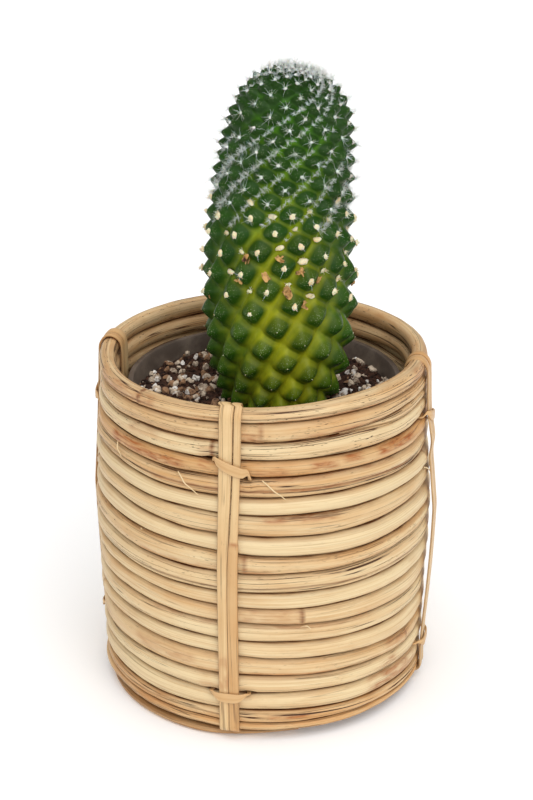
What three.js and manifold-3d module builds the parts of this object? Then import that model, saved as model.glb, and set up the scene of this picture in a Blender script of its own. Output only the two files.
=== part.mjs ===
// A mammillaria cactus in a grow pot, standing in a round rattan basket.
//
// The basket wall is a stack of bent canes. Four pairs of flat peel strips loop round the whole wall, over the rim
// and under the lowest row, and two short ties per pair draw the outer strip against the inner one. The floor is a
// flat coil of split cane. The grow pot, its potting mix and the cactus stand loose inside.
//
// Units are millimetres, +Z is up, and the origin is the centre of the basket's foot. The front strap faces -Y,
// turned a little towards -X.

import * as THREE from "three";
import { mergeVertices } from "three/addons/utils/BufferGeometryUtils.js";
import Module from "manifold-3d";

// ---- Driving dimensions -------------------------------------------------------------------------------------------

const CLEARANCE = 0.3; // between pieces that touch

// Basket wall, from the rim down: the height that each cane row takes up.
const THICK_ROWS = [7, 8, 7, 7.5, 8.5, 8, 8.5, 8.5, 8, 8, 7, 6.5, 8.5, 7, 8.5, 8, 7.5];
const THIN_ROWS = [4.9, 3.2]; // fine canes that finish the wall at the foot
const BASKET_HEIGHT = 145;
// Outer radius of the wall against height: drawn in at the rim and at the foot.
const WALL_OUTLINE = [
  [0, 67.6],
  [13, 68],
  [45, 68.8],
  [80, 70.1],
  [115, 68.8],
  [130, 68.3],
  [145, 67.2],
];
const RING_STEPS = 24; // straight stretches in a plain cane row
const CANE_WOBBLE = 0.35; // how far a bent cane strays from a true circle

// Floor coil: split cane laid flat side up.
const COIL_THICKNESS = 3;
const COIL_WIDTH = 7.8;
const COIL_PITCH = 8.1;
const COIL_OUTER_RADIUS = 67;
const COIL_INNER_RADIUS = 6;
const COIL_STEP = 18; // length of one straight stretch
const COIL_END_DEG = 13; // where its outer end lies, from the front towards +X

// Straps: two peel strips side by side at each of four stations round the wall.
const STATION_ANGLES = [-101.6, -11.6, 78.4, 168.4]; // degrees from the front, towards +X
const STRIP_WIDTHS = [5.1, 3.9];
const STRIP_THICKNESS = 1;
const STRIP_SPACING = 0.3;
const TIE_WIDTH = 4;
const TIE_THICKNESS = 0.8;
const TIE_NECK = 2; // a tie's thickness where it is bunched up between two rows
const TIE_REACH_DEG = 6.2; // from the strap's centre to where a tie dives between two rows
// A tie enters the wall below one row on its left and below another on its right, counted from the rim.
const TIES = [
  { name: "upper", leftBelow: 3, rightBelow: 4, sag: 0.5 },
  { name: "lower", leftBelow: 16, rightBelow: 16, sag: 3 },
];
const NOTCH_DEPTH = 0.65; // how far each of the two rows gives way at a tie

// Outward slack of each strap halfway up the wall; its ties hold it close near both ends.
const STRAP_SLACK = [0.4, 0, 1.1, 0.3];
const SLACK_SPAN = [24, 106]; // heights between which a strap hangs loose

// Grow pot.
const POT_CENTRE = [0.5, 1.7];
const POT_RIM_RADIUS = 56;
const POT_RIM_HEIGHT = 4;
const POT_WALL = 1.2;
const POT_TOP = 131;
const POT_FOOT_RADIUS = 39;
const DRAIN_HOLES = 6;
const DRAIN_RADIUS = 4;
const DRAIN_CIRCLE = 25;

// Potting mix.
const SOIL_TOP = 123.5; // at the pot's wall
const SOIL_DISH = 2.2; // lower than that at the stem
const GRAINS = 24;
const GRAIN_BAND = [28, 47]; // distances from the pot's centre
const GRAIN_SIZES = [1.6, 2.8];
const ROUND_SEGMENTS = 28; // the pot and the mix in it share their facets

// Cactus: a valley surface of revolution, given as [radius, height above the soil], and tubercles raised from it.
const STEM_X = 6.5;
const STEM_FOOT = 123.4;
const STEM_OUTLINE = [
  [17.4, 0],
  [20.8, 8.1],
  [23.9, 19.3],
  [25.4, 30.4],
  [26, 41.6],
  [25.8, 52.7],
  [25.7, 63.9],
  [25.2, 75],
  [24.5, 85.1],
  [23.9, 94.3],
  [23.3, 103.4],
  [22.6, 111.5],
  [21.2, 119.1],
  [18.6, 125.2],
  [15.2, 129.1],
  [10.8, 131.8],
  [5.4, 133.7],
];
const STEM_TOP = 134.3;
const LEAN_START = 60; // height at which the stem starts to lean
const LEAN_RIGHT_DEG = 13; // at the top
const LEAN_BACK_DEG = 4;
const NECK_RADIUS = 13;
const NECK_DEPTH = 22;
const GOLDEN_ANGLE = 137.50776;
const FIRST_ANGLE = -84;
// Climb from one tubercle to the next as a share of the girth there, against height.
const SPACING = [
  [0, 0.0043],
  [61, 0.0042],
  [75, 0.0034],
  [95, 0.0028],
];
const TUBERCLE_LOW = 5.8;
const TUBERCLE_HIGH = 4.4;
const TUBERCLE_CROWN = 2.8;
const DROOP_LOW = 1.8; // how far a tubercle's tip hangs below its middle
const DROOP_HIGH = 0.2;
const SPINE_LENGTH = 5.5;
const SPINE_RADIUS = 0.4;
const SPINE_EVERY = 5; // every fifth tubercle carries a pair
const CROWN_WOOL_RADIUS = 6.5;

// ---- Materials ----------------------------------------------------------------------------------------------------

const finish = (color, roughness) => new THREE.MeshStandardMaterial({ color, roughness, metalness: 0 });
const rattan = finish(0xdfc090, 0.6);
const peel = finish(0xd9b67e, 0.5);
const growPotPlastic = finish(0x5d5450, 0.65);
const pottingMix = finish(0x3a2b22, 0.95);
const cactusSkin = finish(0x3f7a2c, 0.55);

// ---- Helpers ------------------------------------------------------------------------------------------------------

const wasm = await Module();
wasm.setup();

const radians = THREE.MathUtils.degToRad;
const lerp = THREE.MathUtils.lerp;

// A seeded random number between 0 and 1.
function seededRandom(seed) {
  let state = seed >>> 0;
  return () => {
    state = (Math.imul(state, 1664525) + 1013904223) >>> 0;
    return state / 4294967296;
  };
}

// Straight-line interpolation in a list of [x, y] points.
function along(points, x) {
  const last = points.length - 1;
  if (x <= points[0][0]) return points[0][1];
  if (x >= points[last][0]) return points[last][1];
  const i = points.findIndex((p) => p[0] >= x);
  const [x0, y0] = points[i - 1];
  const [x1, y1] = points[i];
  return lerp(y0, y1, (x - x0) / (x1 - x0));
}

function smooth(x, low, high) {
  const t = THREE.MathUtils.clamp((x - low) / (high - low), 0, 1);
  return t * t * (3 - 2 * t);
}

// A point of the basket, from its angle off the front, its radius and its height.
function atAngle(degrees, radius, z) {
  return new THREE.Vector3(radius * Math.sin(radians(degrees)), -radius * Math.cos(radians(degrees)), z);
}

function geometryOf(points, triangles) {
  const position = new Float32Array(points.length * 3);
  points.forEach((p, i) => position.set([p.x, p.y, p.z], i * 3));
  return new THREE.BufferGeometry()
    .setAttribute("position", new THREE.BufferAttribute(position, 3))
    .setIndex(triangles);
}

// The skin through a row of sections with the same number of corners. It closes on itself, or gets two end faces.
function loft(sections, closesOnItself) {
  const sides = sections[0].length;
  const points = sections.flat();
  const triangles = [];
  const last = closesOnItself ? sections.length : sections.length - 1;
  for (let i = 0; i < last; i++) {
    const here = i * sides;
    const next = ((i + 1) % sections.length) * sides;
    for (let j = 0; j < sides; j++) {
      const k = (j + 1) % sides;
      triangles.push(here + j, here + k, next + k, here + j, next + k, next + j);
    }
  }
  if (!closesOnItself) {
    const end = (sections.length - 1) * sides;
    for (let j = 1; j < sides - 1; j++) {
      triangles.push(0, j + 1, j, end, end + j, end + j + 1);
    }
  }
  return facingOut(geometryOf(points, triangles));
}

function solidFrom(geometry) {
  const bare = geometry.clone();
  for (const name of ["normal", "uv"]) bare.deleteAttribute(name);
  const merged = mergeVertices(bare);
  return new wasm.Manifold(
    new wasm.Mesh({
      numProp: 3,
      vertProperties: new Float32Array(merged.attributes.position.array),
      triVerts: new Uint32Array(merged.index.array),
    }),
  );
}

function geometryFrom(solid) {
  const { vertProperties, triVerts } = solid.getMesh();
  return new THREE.BufferGeometry()
    .setAttribute("position", new THREE.BufferAttribute(vertProperties, 3))
    .setIndex(new THREE.BufferAttribute(triVerts, 1));
}

// Turns a closed skin the right way out.
function facingOut(geometry) {
  if (solidFrom(geometry).volume() < 0) {
    const index = geometry.index.array;
    for (let i = 0; i < index.length; i += 3) [index[i + 1], index[i + 2]] = [index[i + 2], index[i + 1]];
  }
  return geometry;
}

const part = new THREE.Group();

function addMesh(name, geometry, material) {
  geometry.computeVertexNormals();
  const mesh = new THREE.Mesh(geometry, material);
  mesh.name = name;
  part.add(mesh);
  return mesh;
}

// ---- Basket wall --------------------------------------------------------------------------------------------------

// Every row from the rim down: its top and bottom, with the clearance taken off its underside.
const rows = [];
{
  let top = BASKET_HEIGHT;
  for (const height of [...THICK_ROWS, ...THIN_ROWS]) {
    rows.push({ top, bottom: top - height + CLEARANCE, height: height - CLEARANCE });
    top -= height;
  }
}
const wallOuterRadius = (z) => along(WALL_OUTLINE, z);
const thickRow = (index) => index < THICK_ROWS.length;

// Radial thickness of a row: a cane is about as thick as it is tall, and the fine rows are flat.
const rowThickness = (index) => (thickRow(index) ? rows[index].height : 5);

// How much a row gives way at an angle, at its top or its bottom, where a tie dives past it.
function notch(rowIndex, side, degrees) {
  let depth = 0;
  for (const station of STATION_ANGLES) {
    for (const tie of TIES) {
      const dives = [
        [station - TIE_REACH_DEG, tie.leftBelow],
        [station + TIE_REACH_DEG, tie.rightBelow],
      ];
      for (const [angle, below] of dives) {
        const touchedRow = side === "bottom" ? below - 1 : below;
        const away = Math.abs(degrees - angle);
        if (touchedRow === rowIndex && away < TIE_REACH_DEG) depth = NOTCH_DEPTH * (1 - away / TIE_REACH_DEG);
      }
    }
  }
  return depth;
}

const tiedRows = new Set(TIES.flatMap((t) => [t.leftBelow - 1, t.leftBelow, t.rightBelow - 1, t.rightBelow]));

// Angles of a row's corners: evenly spaced, or gathered at the stations where ties pass.
function rowAngles(rowIndex) {
  if (!tiedRows.has(rowIndex)) {
    return Array.from({ length: RING_STEPS }, (_, i) => STATION_ANGLES[0] + (i * 360) / RING_STEPS);
  }
  const between = 3; // stretches between two stations
  const angles = [];
  for (const station of STATION_ANGLES) {
    for (const step of [-2, -1, 0, 1]) angles.push(station + step * TIE_REACH_DEG);
    const free = 90 - 4 * TIE_REACH_DEG;
    for (let i = 0; i < between; i++) angles.push(station + 2 * TIE_REACH_DEG + (free * i) / between);
  }
  return angles;
}

function caneRow(index) {
  const row = rows[index];
  const middle = (row.top + row.bottom) / 2;
  const thickness = rowThickness(index);
  const outer = wallOuterRadius(middle);
  const phase = index * 2.4;
  const sections = rowAngles(index).map((angle) => {
    // A cane is only ever pushed inwards, so a strap that lies on the true circle clears it.
    const pushed = (CANE_WOBBLE * (1 + Math.sin(radians(angle * 2) + phase))) / 2;
    const top = row.top - notch(index, "top", angle);
    const bottom = row.bottom + notch(index, "bottom", angle);
    const centre = outer - pushed - thickness / 2;
    const flat = thickRow(index) ? 0.5 : 0.7; // share of the width that is flat on top and below
    const corners = [
      [thickness / 2, (top + bottom) / 2],
      [(thickness / 2) * flat, top],
      [(-thickness / 2) * flat, top],
      [-thickness / 2, (top + bottom) / 2],
      [(-thickness / 2) * flat, bottom],
      [(thickness / 2) * flat, bottom],
    ];
    return corners.map(([off, z]) => atAngle(angle, centre + off, z));
  });
  return loft(sections, true);
}

rows.forEach((_, i) => addMesh(`cane_row_${String(i + 1).padStart(2, "0")}`, caneRow(i), rattan));

// ---- Basket floor -------------------------------------------------------------------------------------------------

// A flat spiral, wound inwards from its outer end. Its section is flat on top, and narrower and flat below, where it stands.
function floorCoil() {
  const half = COIL_WIDTH / 2;
  const section = [
    [-half, COIL_THICKNESS],
    [-half * 0.55, 0],
    [half * 0.55, 0],
    [half, COIL_THICKNESS],
  ];
  const start = COIL_OUTER_RADIUS - half;
  const radiusAt = (degrees) => start - (COIL_PITCH * degrees) / 360;
  const sections = [];
  let turned = 0;
  while (radiusAt(turned) > COIL_INNER_RADIUS) {
    const radius = radiusAt(turned);
    sections.push(section.map(([off, z]) => atAngle(COIL_END_DEG - turned, radius + off, z)));
    turned += THREE.MathUtils.radToDeg(Math.min(COIL_STEP / radius, 0.8));
  }
  return loft(sections, false);
}
addMesh("floor_coil", floorCoil(), rattan);

// ---- Straps and ties ----------------------------------------------------------------------------------------------

const strapWidth = STRIP_WIDTHS[0] + STRIP_SPACING + STRIP_WIDTHS[1];
const innerRadius = (row, i) => wallOuterRadius((row.top + row.bottom) / 2) - rowThickness(i) - CANE_WOBBLE;
// Between two corners a row's inner side runs straight, and so nearer the middle of the basket.
const facetSag = (strapWidth / 2) * Math.tan(Math.PI / RING_STEPS);
const stripInside = Math.min(...rows.map(innerRadius)) - facetSag - CLEARANCE;
const stripBelow = COIL_THICKNESS + CLEARANCE; // the strips lie on the floor coil, under the lowest row

// The strip's inner face, as a loop of [radius, height] round the wall, or the same loop moved outwards.
function stripLoop(grow, slack) {
  const away = CLEARANCE + grow;
  const [low, high] = SLACK_SPAN;
  const bow = (z) => slack * Math.max(0, Math.sin((Math.PI * (z - low)) / (high - low)));
  const bends = [...WALL_OUTLINE.slice(1, -1).map(([z]) => z), low, high].sort((a, b) => a - b);
  const rimMiddle = (rows[0].top + rows[0].bottom) / 2;
  const rimOuter = wallOuterRadius(rimMiddle);
  const rimQuarter = rowThickness(0) / 4;
  const foot = stripBelow + STRIP_THICKNESS - grow;
  return [
    [stripInside + 0.4 - grow * 0.6, foot],
    [wallOuterRadius(0) + CLEARANCE, foot],
    [wallOuterRadius(0) + 0.6 + away, foot + 1 + grow],
    ...bends.map((z) => [wallOuterRadius(z) + away + bow(z), z]),
    [rimOuter + away, rimMiddle + away * 0.25],
    [rimOuter - rimQuarter + away * 0.6, BASKET_HEIGHT + away],
    [rimOuter - 3 * rimQuarter - CANE_WOBBLE - facetSag - away * 0.6, BASKET_HEIGHT + away],
    [stripInside - grow, rimMiddle + away * 0.25],
    [stripInside - grow, foot + 1 + grow],
  ];
}

function stripGeometry(width, slack) {
  const toPoints = (loop) => loop.map(([r, z]) => new THREE.Vector2(r, z));
  const shape = new THREE.Shape(toPoints(stripLoop(STRIP_THICKNESS, slack)));
  shape.holes.push(new THREE.Path(toPoints(stripLoop(0, slack))));
  return new THREE.ExtrudeGeometry(shape, { depth: width, bevelEnabled: false });
}

STATION_ANGLES.forEach((station, s) => {
  // The shape's x runs outwards and its y up, so the extrusion runs along the wall.
  const turn = new THREE.Group();
  turn.rotation.z = radians(station - 90);
  let offset = -strapWidth / 2;
  STRIP_WIDTHS.forEach((width, i) => {
    const mesh = addMesh(`strap_${s + 1}_strip_${i + 1}`, stripGeometry(width, STRAP_SLACK[s]), peel);
    mesh.rotation.x = Math.PI / 2;
    mesh.position.y = offset + width;
    turn.add(mesh);
    offset += width + STRIP_SPACING;
  });
  part.add(turn);
});

// A tie is a closed band. It crosses the strips outside, is drawn in between two rows, crosses the strips inside and
// comes back out between two rows.
function tieGeometry(station, tie) {
  const creaseBelow = (row) => rows[row - 1].bottom - CLEARANCE / 2;
  const zLeft = creaseBelow(tie.leftBelow);
  const zRight = creaseBelow(tie.rightBelow);
  const zAt = (share) => lerp(zLeft, zRight, share) - tie.sag * (1 - Math.abs(share - 0.5) * 1.2);
  const half = TIE_THICKNESS / 2;
  const outer = wallOuterRadius((zLeft + zRight) / 2);
  const widest = Math.max(...[zLeft, zRight].map((z) => wallOuterRadius(z - TIE_WIDTH)));
  const over = widest + CLEARANCE + STRIP_THICKNESS + CLEARANCE + half;
  const under = stripInside - STRIP_THICKNESS - CLEARANCE - half;
  const inCrease = under + 2.4;
  const reach = strapWidth / 2 + 0.5;
  const dive = outer * Math.tan(radians(TIE_REACH_DEG));
  const diveInside = inCrease * Math.tan(radians(TIE_REACH_DEG));
  // One section round a point that lies x along the wall, r outwards and z up. It is given half its height, and half
  // its thickness as a step along the wall and a step outwards, away from the middle of the band.
  const section = (x, r, z, tall, [stepAlong, stepOut]) =>
    [
      [-1, -1],
      [1, -1],
      [1, 1],
      [-1, 1],
    ].map(([a, b]) =>
      atAngle(station, r + b * stepOut, z + a * tall).add(atAngle(station + 90, x + b * stepAlong, 0)),
    );
  const onFace = (x, r, z, way) => section(x, r, z, TIE_WIDTH / 2, [0, way * half]);
  const inWall = (x, r, z, way) => section(x, r, z, half, [(way * TIE_NECK) / 2, 0]);
  return loft(
    [
      inWall(-dive, outer - 0.6, zLeft, -1),
      onFace(-reach, over, zAt(0.12), 1),
      onFace(0, over, zAt(0.5), 1),
      onFace(reach, over, zAt(0.88), 1),
      inWall(dive, outer - 0.6, zRight, 1),
      inWall(diveInside, inCrease, zRight, 1),
      onFace(reach, under, zAt(0.88), -1),
      onFace(-reach, under, zAt(0.12), -1),
      inWall(-diveInside, inCrease, zLeft, -1),
    ],
    true,
  );
}

STATION_ANGLES.forEach((station, s) => {
  for (const tie of TIES) addMesh(`tie_${s + 1}_${tie.name}`, tieGeometry(station, tie), peel);
});

// ---- Grow pot -----------------------------------------------------------------------------------------------------

// A body turned round the Z axis from a profile of [radius, height].
function turnedShape(profile) {
  const points = profile.map(([r, z]) => new THREE.Vector2(r, z));
  return facingOut(new THREE.LatheGeometry(points, ROUND_SEGMENTS).rotateX(Math.PI / 2));
}

const POT_FLOOR = COIL_THICKNESS + CLEARANCE + STRIP_THICKNESS + CLEARANCE; // clears the strips that cross the floor coil
const potWallRadius = (z) => lerp(POT_FOOT_RADIUS, POT_RIM_RADIUS - 1.5, (z - POT_FLOOR) / (POT_TOP - POT_FLOOR));

function growPot() {
  const lip = POT_TOP - POT_RIM_HEIGHT;
  const inside = POT_FLOOR + POT_WALL * 1.5;
  const profile = [
    [0, POT_FLOOR],
    [POT_FOOT_RADIUS, POT_FLOOR],
    [potWallRadius(lip), lip],
    [POT_RIM_RADIUS, lip],
    [POT_RIM_RADIUS, POT_TOP],
    [potWallRadius(POT_TOP) - POT_WALL, POT_TOP],
    [potWallRadius(inside) - POT_WALL, inside],
    [0, inside],
  ];
  let solid = solidFrom(turnedShape(profile));
  for (let i = 0; i < DRAIN_HOLES; i++) {
    const angle = (360 * i) / DRAIN_HOLES;
    const hole = new THREE.CylinderGeometry(DRAIN_RADIUS, DRAIN_RADIUS, 6, 10).rotateX(Math.PI / 2);
    const place = atAngle(angle, DRAIN_CIRCLE, POT_FLOOR);
    solid = solid.subtract(solidFrom(hole.translate(place.x, place.y, place.z)));
  }
  return geometryFrom(solid).translate(...POT_CENTRE, 0);
}
addMesh("grow_pot", growPot(), growPotPlastic);

// ---- Potting mix --------------------------------------------------------------------------------------------------

// One body of mix in the pot, with a plain hole for the stem's neck and coarse grains standing out of its top.
function soilBody() {
  const floor = POT_FLOOR + POT_WALL * 1.5 + CLEARANCE;
  const wallGap = POT_WALL + CLEARANCE;
  const profile = [
    [0, floor],
    [potWallRadius(floor) - wallGap, floor],
    [potWallRadius(SOIL_TOP) - wallGap, SOIL_TOP],
    [40, SOIL_TOP + 0.6],
    [24, SOIL_TOP - SOIL_DISH],
    [0, SOIL_TOP - SOIL_DISH],
  ];
  const turned = turnedShape(profile).translate(...POT_CENTRE, 0);
  let solid = solidFrom(turned);
  const random = seededRandom(11);
  const grains = [];
  for (let i = 0; i < GRAINS; i++) {
    const angle = (GOLDEN_ANGLE * i) % 360;
    const radius = lerp(...GRAIN_BAND, Math.sqrt((i + 0.5) / GRAINS));
    const size = lerp(...GRAIN_SIZES, random());
    const at = atAngle(angle, radius, SOIL_TOP + 0.2).add(new THREE.Vector3(...POT_CENTRE, 0));
    const stemGap = Math.hypot(at.x - STEM_X, at.y) - (STEM_OUTLINE[0][0] + TUBERCLE_LOW);
    if (stemGap < size + 1) continue;
    const grain = new THREE.IcosahedronGeometry(size, 0)
      .rotateX(random() * 3)
      .rotateY(random() * 3)
      .scale(1, 0.8, 0.75)
      .translate(at.x, at.y, at.z);
    grains.push(solidFrom(grain));
  }
  solid = wasm.Manifold.union([solid, ...grains]);
  const hole = new THREE.CylinderGeometry(NECK_RADIUS + CLEARANCE, NECK_RADIUS + CLEARANCE, NECK_DEPTH * 2, 20)
    .rotateX(Math.PI / 2)
    .translate(STEM_X, 0, STEM_FOOT + CLEARANCE);
  return geometryFrom(solid.subtract(solidFrom(hole)));
}
addMesh("potting_mix", soilBody(), pottingMix);

// ---- Cactus -------------------------------------------------------------------------------------------------------

const stemOutline = new THREE.CatmullRomCurve3(
  [...STEM_OUTLINE, [0, STEM_TOP]].map(([r, h]) => new THREE.Vector3(r, h, 0)),
  false,
  "centripetal",
);
const stemLength = stemOutline.getLength();

// Leans the upper stem: a point is sheared and turned about the height at which the lean starts.
function leaned(radiusX, radiusY, height) {
  const over = Math.max(0, height - LEAN_START);
  const share = over / (STEM_TOP - LEAN_START);
  const right = radians(LEAN_RIGHT_DEG) * share;
  const back = radians(LEAN_BACK_DEG) * share;
  const x = STEM_X + radiusX * Math.cos(right) + (over * Math.sin(right)) / 2;
  const y = radiusY * Math.cos(back) + (over * Math.sin(back)) / 2;
  const z = STEM_FOOT + height - radiusX * Math.sin(right) - radiusY * Math.sin(back);
  return new THREE.Vector3(x, y, z);
}

// A point of the stem: a distance along its outline, an angle round it, a height out of the valley surface and a
// shift down the outline.
function onStem(distance, degrees, out, down = 0) {
  const u = THREE.MathUtils.clamp(distance / stemLength, 0, 1);
  const point = stemOutline.getPointAt(u);
  const tangent = stemOutline.getTangentAt(u);
  const r = point.x + out * tangent.y - down * tangent.x;
  const h = point.y - out * tangent.x - down * tangent.y;
  return leaned(r * Math.sin(radians(degrees)), -r * Math.cos(radians(degrees)), h);
}

// Where each tubercle sits: a distance along the outline for each step up the spiral, in order.
const tubercles = [];
{
  let distance = 3;
  while (true) {
    const { x: radius, y: height } = stemOutline.getPointAt(Math.min(distance / stemLength, 1));
    if (radius < 4.5 && height > LEAN_START) break;
    tubercles.push({ distance, height, radius });
    distance += along(SPACING, height) * 2 * Math.PI * (radius + 2);
  }
}

// The distance along the outline for any place between two steps of the spiral, and beyond both ends.
function distanceAt(step) {
  const last = tubercles.length - 1;
  const i = THREE.MathUtils.clamp(Math.floor(step), 0, last - 1);
  const a = tubercles[i].distance;
  const b = tubercles[i + 1].distance;
  return a + (b - a) * (step - i);
}

// The spiral's rows run 8 and 13 steps apart. These are the turns that such a row makes from one tubercle to the next.
const ROW_A = 8;
const ROW_B = 13;
const turnA = -(ROW_A * GOLDEN_ANGLE - 3 * 360);
const turnB = -(ROW_B * GOLDEN_ANGLE - 5 * 360);
const angleOf = (step) => FIRST_ANGLE - step * GOLDEN_ANGLE;

const tubercleHeight = (height) =>
  height < 95
    ? lerp(TUBERCLE_LOW, TUBERCLE_HIGH, smooth(height, 45, 95))
    : lerp(TUBERCLE_HIGH, TUBERCLE_CROWN, smooth(height, 95, 130));
const tubercleDroop = (height) => lerp(DROOP_LOW, DROOP_HIGH, smooth(height, 30, 100));

function tipOf(step) {
  const { distance, height } = tubercles[step];
  return onStem(distance, angleOf(step), tubercleHeight(height), tubercleDroop(height));
}

// Six valley points lie round every tubercle, in the middles of the triangles that it makes with its neighbours.
// Each is [share of row A, share of row B] away.
const VALLEYS = [
  [2, 1],
  [1, 2],
  [-1, 1],
  [-2, -1],
  [-1, -2],
  [1, -1],
].map(([a, b]) => [a / 3, b / 3]);

function stemSkin() {
  const points = [];
  const known = new Map();
  const valley = (step, [a, b]) => {
    const away = step + a * ROW_A + b * ROW_B;
    const degrees = angleOf(step) + a * turnA + b * turnB;
    const p = onStem(Math.max(0, distanceAt(away)), degrees, 0);
    const key = [p.x, p.y, p.z].map((v) => Math.round(v * 200)).join();
    if (!known.has(key)) {
      known.set(key, points.length);
      points.push(p);
    }
    return known.get(key);
  };
  const triangles = [];
  for (let step = 0; step < tubercles.length; step++) {
    const rim = VALLEYS.map((v) => valley(step, v));
    const tip = points.push(tipOf(step)) - 1;
    const { height, distance } = tubercles[step];
    const foot = onStem(distance, angleOf(step), 0);
    const outward = onStem(distance, angleOf(step), 1).sub(foot);
    const bulge = outward.multiplyScalar(0.2 * tubercleHeight(height));
    const shoulder = rim.map((i) => points.push(points[tip].clone().lerp(points[i], 0.52).add(bulge)) - 1);
    for (let j = 0; j < rim.length; j++) {
      const k = (j + 1) % rim.length;
      triangles.push(tip, shoulder[j], shoulder[k]);
      triangles.push(shoulder[j], rim[j], rim[k], shoulder[j], rim[k], shoulder[k]);
    }
  }
  closeEnds(points, triangles);
  return facingOut(geometryOf(points, triangles));
}

// Closes the two open ends of the skin with a fan to a point on the stem's axis.
function closeEnds(points, triangles) {
  const edges = new Map();
  for (let i = 0; i < triangles.length; i += 3) {
    for (let j = 0; j < 3; j++) {
      const a = triangles[i + j];
      const b = triangles[i + ((j + 1) % 3)];
      if (edges.has(`${b},${a}`)) edges.delete(`${b},${a}`);
      else edges.set(`${a},${b}`, [a, b]);
    }
  }
  const middle = STEM_FOOT + STEM_TOP / 2;
  const foot = points.push(new THREE.Vector3(STEM_X, 0, STEM_FOOT)) - 1;
  const crown = points.push(leaned(0, 0, STEM_TOP)) - 1;
  for (const [a, b] of edges.values()) triangles.push(b, a, points[a].z < middle ? foot : crown);
}

// A three-sided spine from a tubercle's tip, pointing away from the stem's axis with a tilt of its own.
function spine(step, sideways, upwards) {
  const tip = tipOf(step);
  const { distance } = tubercles[step];
  const root = onStem(distance, angleOf(step), 0);
  const outward = tip.clone().sub(root).normalize();
  const across = new THREE.Vector3(0, 0, 1).cross(outward).normalize();
  const direction = outward.clone().addScaledVector(across, sideways);
  direction.z += upwards;
  direction.normalize();
  const sunk = 1.6;
  const cone = new THREE.ConeGeometry(SPINE_RADIUS, SPINE_LENGTH + sunk, 3).translate(0, (SPINE_LENGTH - sunk) / 2, 0);
  cone.applyQuaternion(new THREE.Quaternion().setFromUnitVectors(new THREE.Vector3(0, 1, 0), direction));
  return solidFrom(cone.translate(tip.x, tip.y, tip.z));
}

function cactus() {
  const skin = solidFrom(stemSkin());
  const neck = solidFrom(
    new THREE.CylinderGeometry(NECK_RADIUS, NECK_RADIUS * 0.8, NECK_DEPTH, 14)
      .rotateX(Math.PI / 2)
      .translate(STEM_X, 0, STEM_FOOT + 1.5 - NECK_DEPTH / 2),
  );
  const crownAt = leaned(0, 0, STEM_TOP - 0.5);
  const wool = solidFrom(
    new THREE.IcosahedronGeometry(CROWN_WOOL_RADIUS, 1).scale(1, 1, 0.45).translate(crownAt.x, crownAt.y, crownAt.z),
  );
  const spines = [];
  for (let step = 20; step < tubercles.length - 30; step += SPINE_EVERY) {
    const up = tubercles[step].height > 70 ? 0.5 : 0.1;
    spines.push(spine(step, 0.5, up), spine(step, -0.45, up * 0.6));
  }
  return geometryFrom(wasm.Manifold.union([skin, neck, wool, ...spines]));
}
addMesh("cactus", cactus(), cactusSkin);

export default part;
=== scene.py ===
# A mammillaria cactus in a grow pot, standing in a round rattan basket.
import math

import bpy
import numpy as np
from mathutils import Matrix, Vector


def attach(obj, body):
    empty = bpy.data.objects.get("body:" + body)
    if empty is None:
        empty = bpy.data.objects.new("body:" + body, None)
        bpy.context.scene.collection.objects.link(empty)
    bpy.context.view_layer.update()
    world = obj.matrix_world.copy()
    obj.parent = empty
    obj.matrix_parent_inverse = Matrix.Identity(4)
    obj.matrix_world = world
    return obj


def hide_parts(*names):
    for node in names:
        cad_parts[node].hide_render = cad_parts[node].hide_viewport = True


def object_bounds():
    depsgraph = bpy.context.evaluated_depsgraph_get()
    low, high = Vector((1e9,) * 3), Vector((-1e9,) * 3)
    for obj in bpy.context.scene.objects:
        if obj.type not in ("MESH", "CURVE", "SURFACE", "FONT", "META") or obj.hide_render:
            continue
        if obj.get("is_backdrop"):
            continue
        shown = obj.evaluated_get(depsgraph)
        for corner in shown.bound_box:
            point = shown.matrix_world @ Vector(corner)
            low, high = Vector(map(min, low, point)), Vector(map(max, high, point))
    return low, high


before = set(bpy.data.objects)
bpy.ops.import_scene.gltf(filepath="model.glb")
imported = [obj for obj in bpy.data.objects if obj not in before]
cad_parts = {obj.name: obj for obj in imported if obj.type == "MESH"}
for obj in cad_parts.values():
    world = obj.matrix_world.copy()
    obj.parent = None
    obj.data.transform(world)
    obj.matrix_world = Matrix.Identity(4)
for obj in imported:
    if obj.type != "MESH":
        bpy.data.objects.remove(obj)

cad_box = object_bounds()

# ---- Floor coil --------------------------------------------------------------------------------------------
# The basket stands on a flat coil of split rattan cane, laid with its flat side up and wound inwards. Its
# tapered tail shows at the front, where the outermost turn ends against the next one.

COIL_THICKNESS = 3.0
COIL_WIDTH = 7.8
COIL_PITCH = 8.1
COIL_OUTER = 67.0
COIL_INNER = 6.0
COIL_TAIL_DEG = 13.0  # where the tail ends, from the front towards +X
COIL_TAPER_DEG = 40.0
COIL_STEP = 3.2  # from one ring of its skin to the next


def linear(colour):
    """An sRGB hex colour as linear RGBA."""
    parts = [int(colour[i : i + 2], 16) / 255 for i in (1, 3, 5)]
    return [*(c / 12.92 if c <= 0.04045 else ((c + 0.055) / 1.055) ** 2.4 for c in parts), 1.0]


def add(tree, kind, links=(), out=0, **settings):
    """Adds a node with its settings and returns one of its outputs. A kind without a prefix is a shader node.
    Each input gets a link or a value, by order or by name."""
    node = tree.nodes.new(kind if "Node" in kind else f"ShaderNode{kind}")
    for setting, value in settings.items():
        setattr(node, setting, value)
    for socket, value in links.items() if isinstance(links, dict) else enumerate(links):
        if isinstance(value, bpy.types.NodeSocket):
            tree.links.new(value, node.inputs[socket])
        else:
            node.inputs[socket].default_value = value
    return node.outputs[out] if node.outputs else node


def new_material(name):
    """A material and its empty tree."""
    material = bpy.data.materials.new(name)
    material.use_nodes = True
    material.node_tree.nodes.clear()
    return material, material.node_tree


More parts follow.
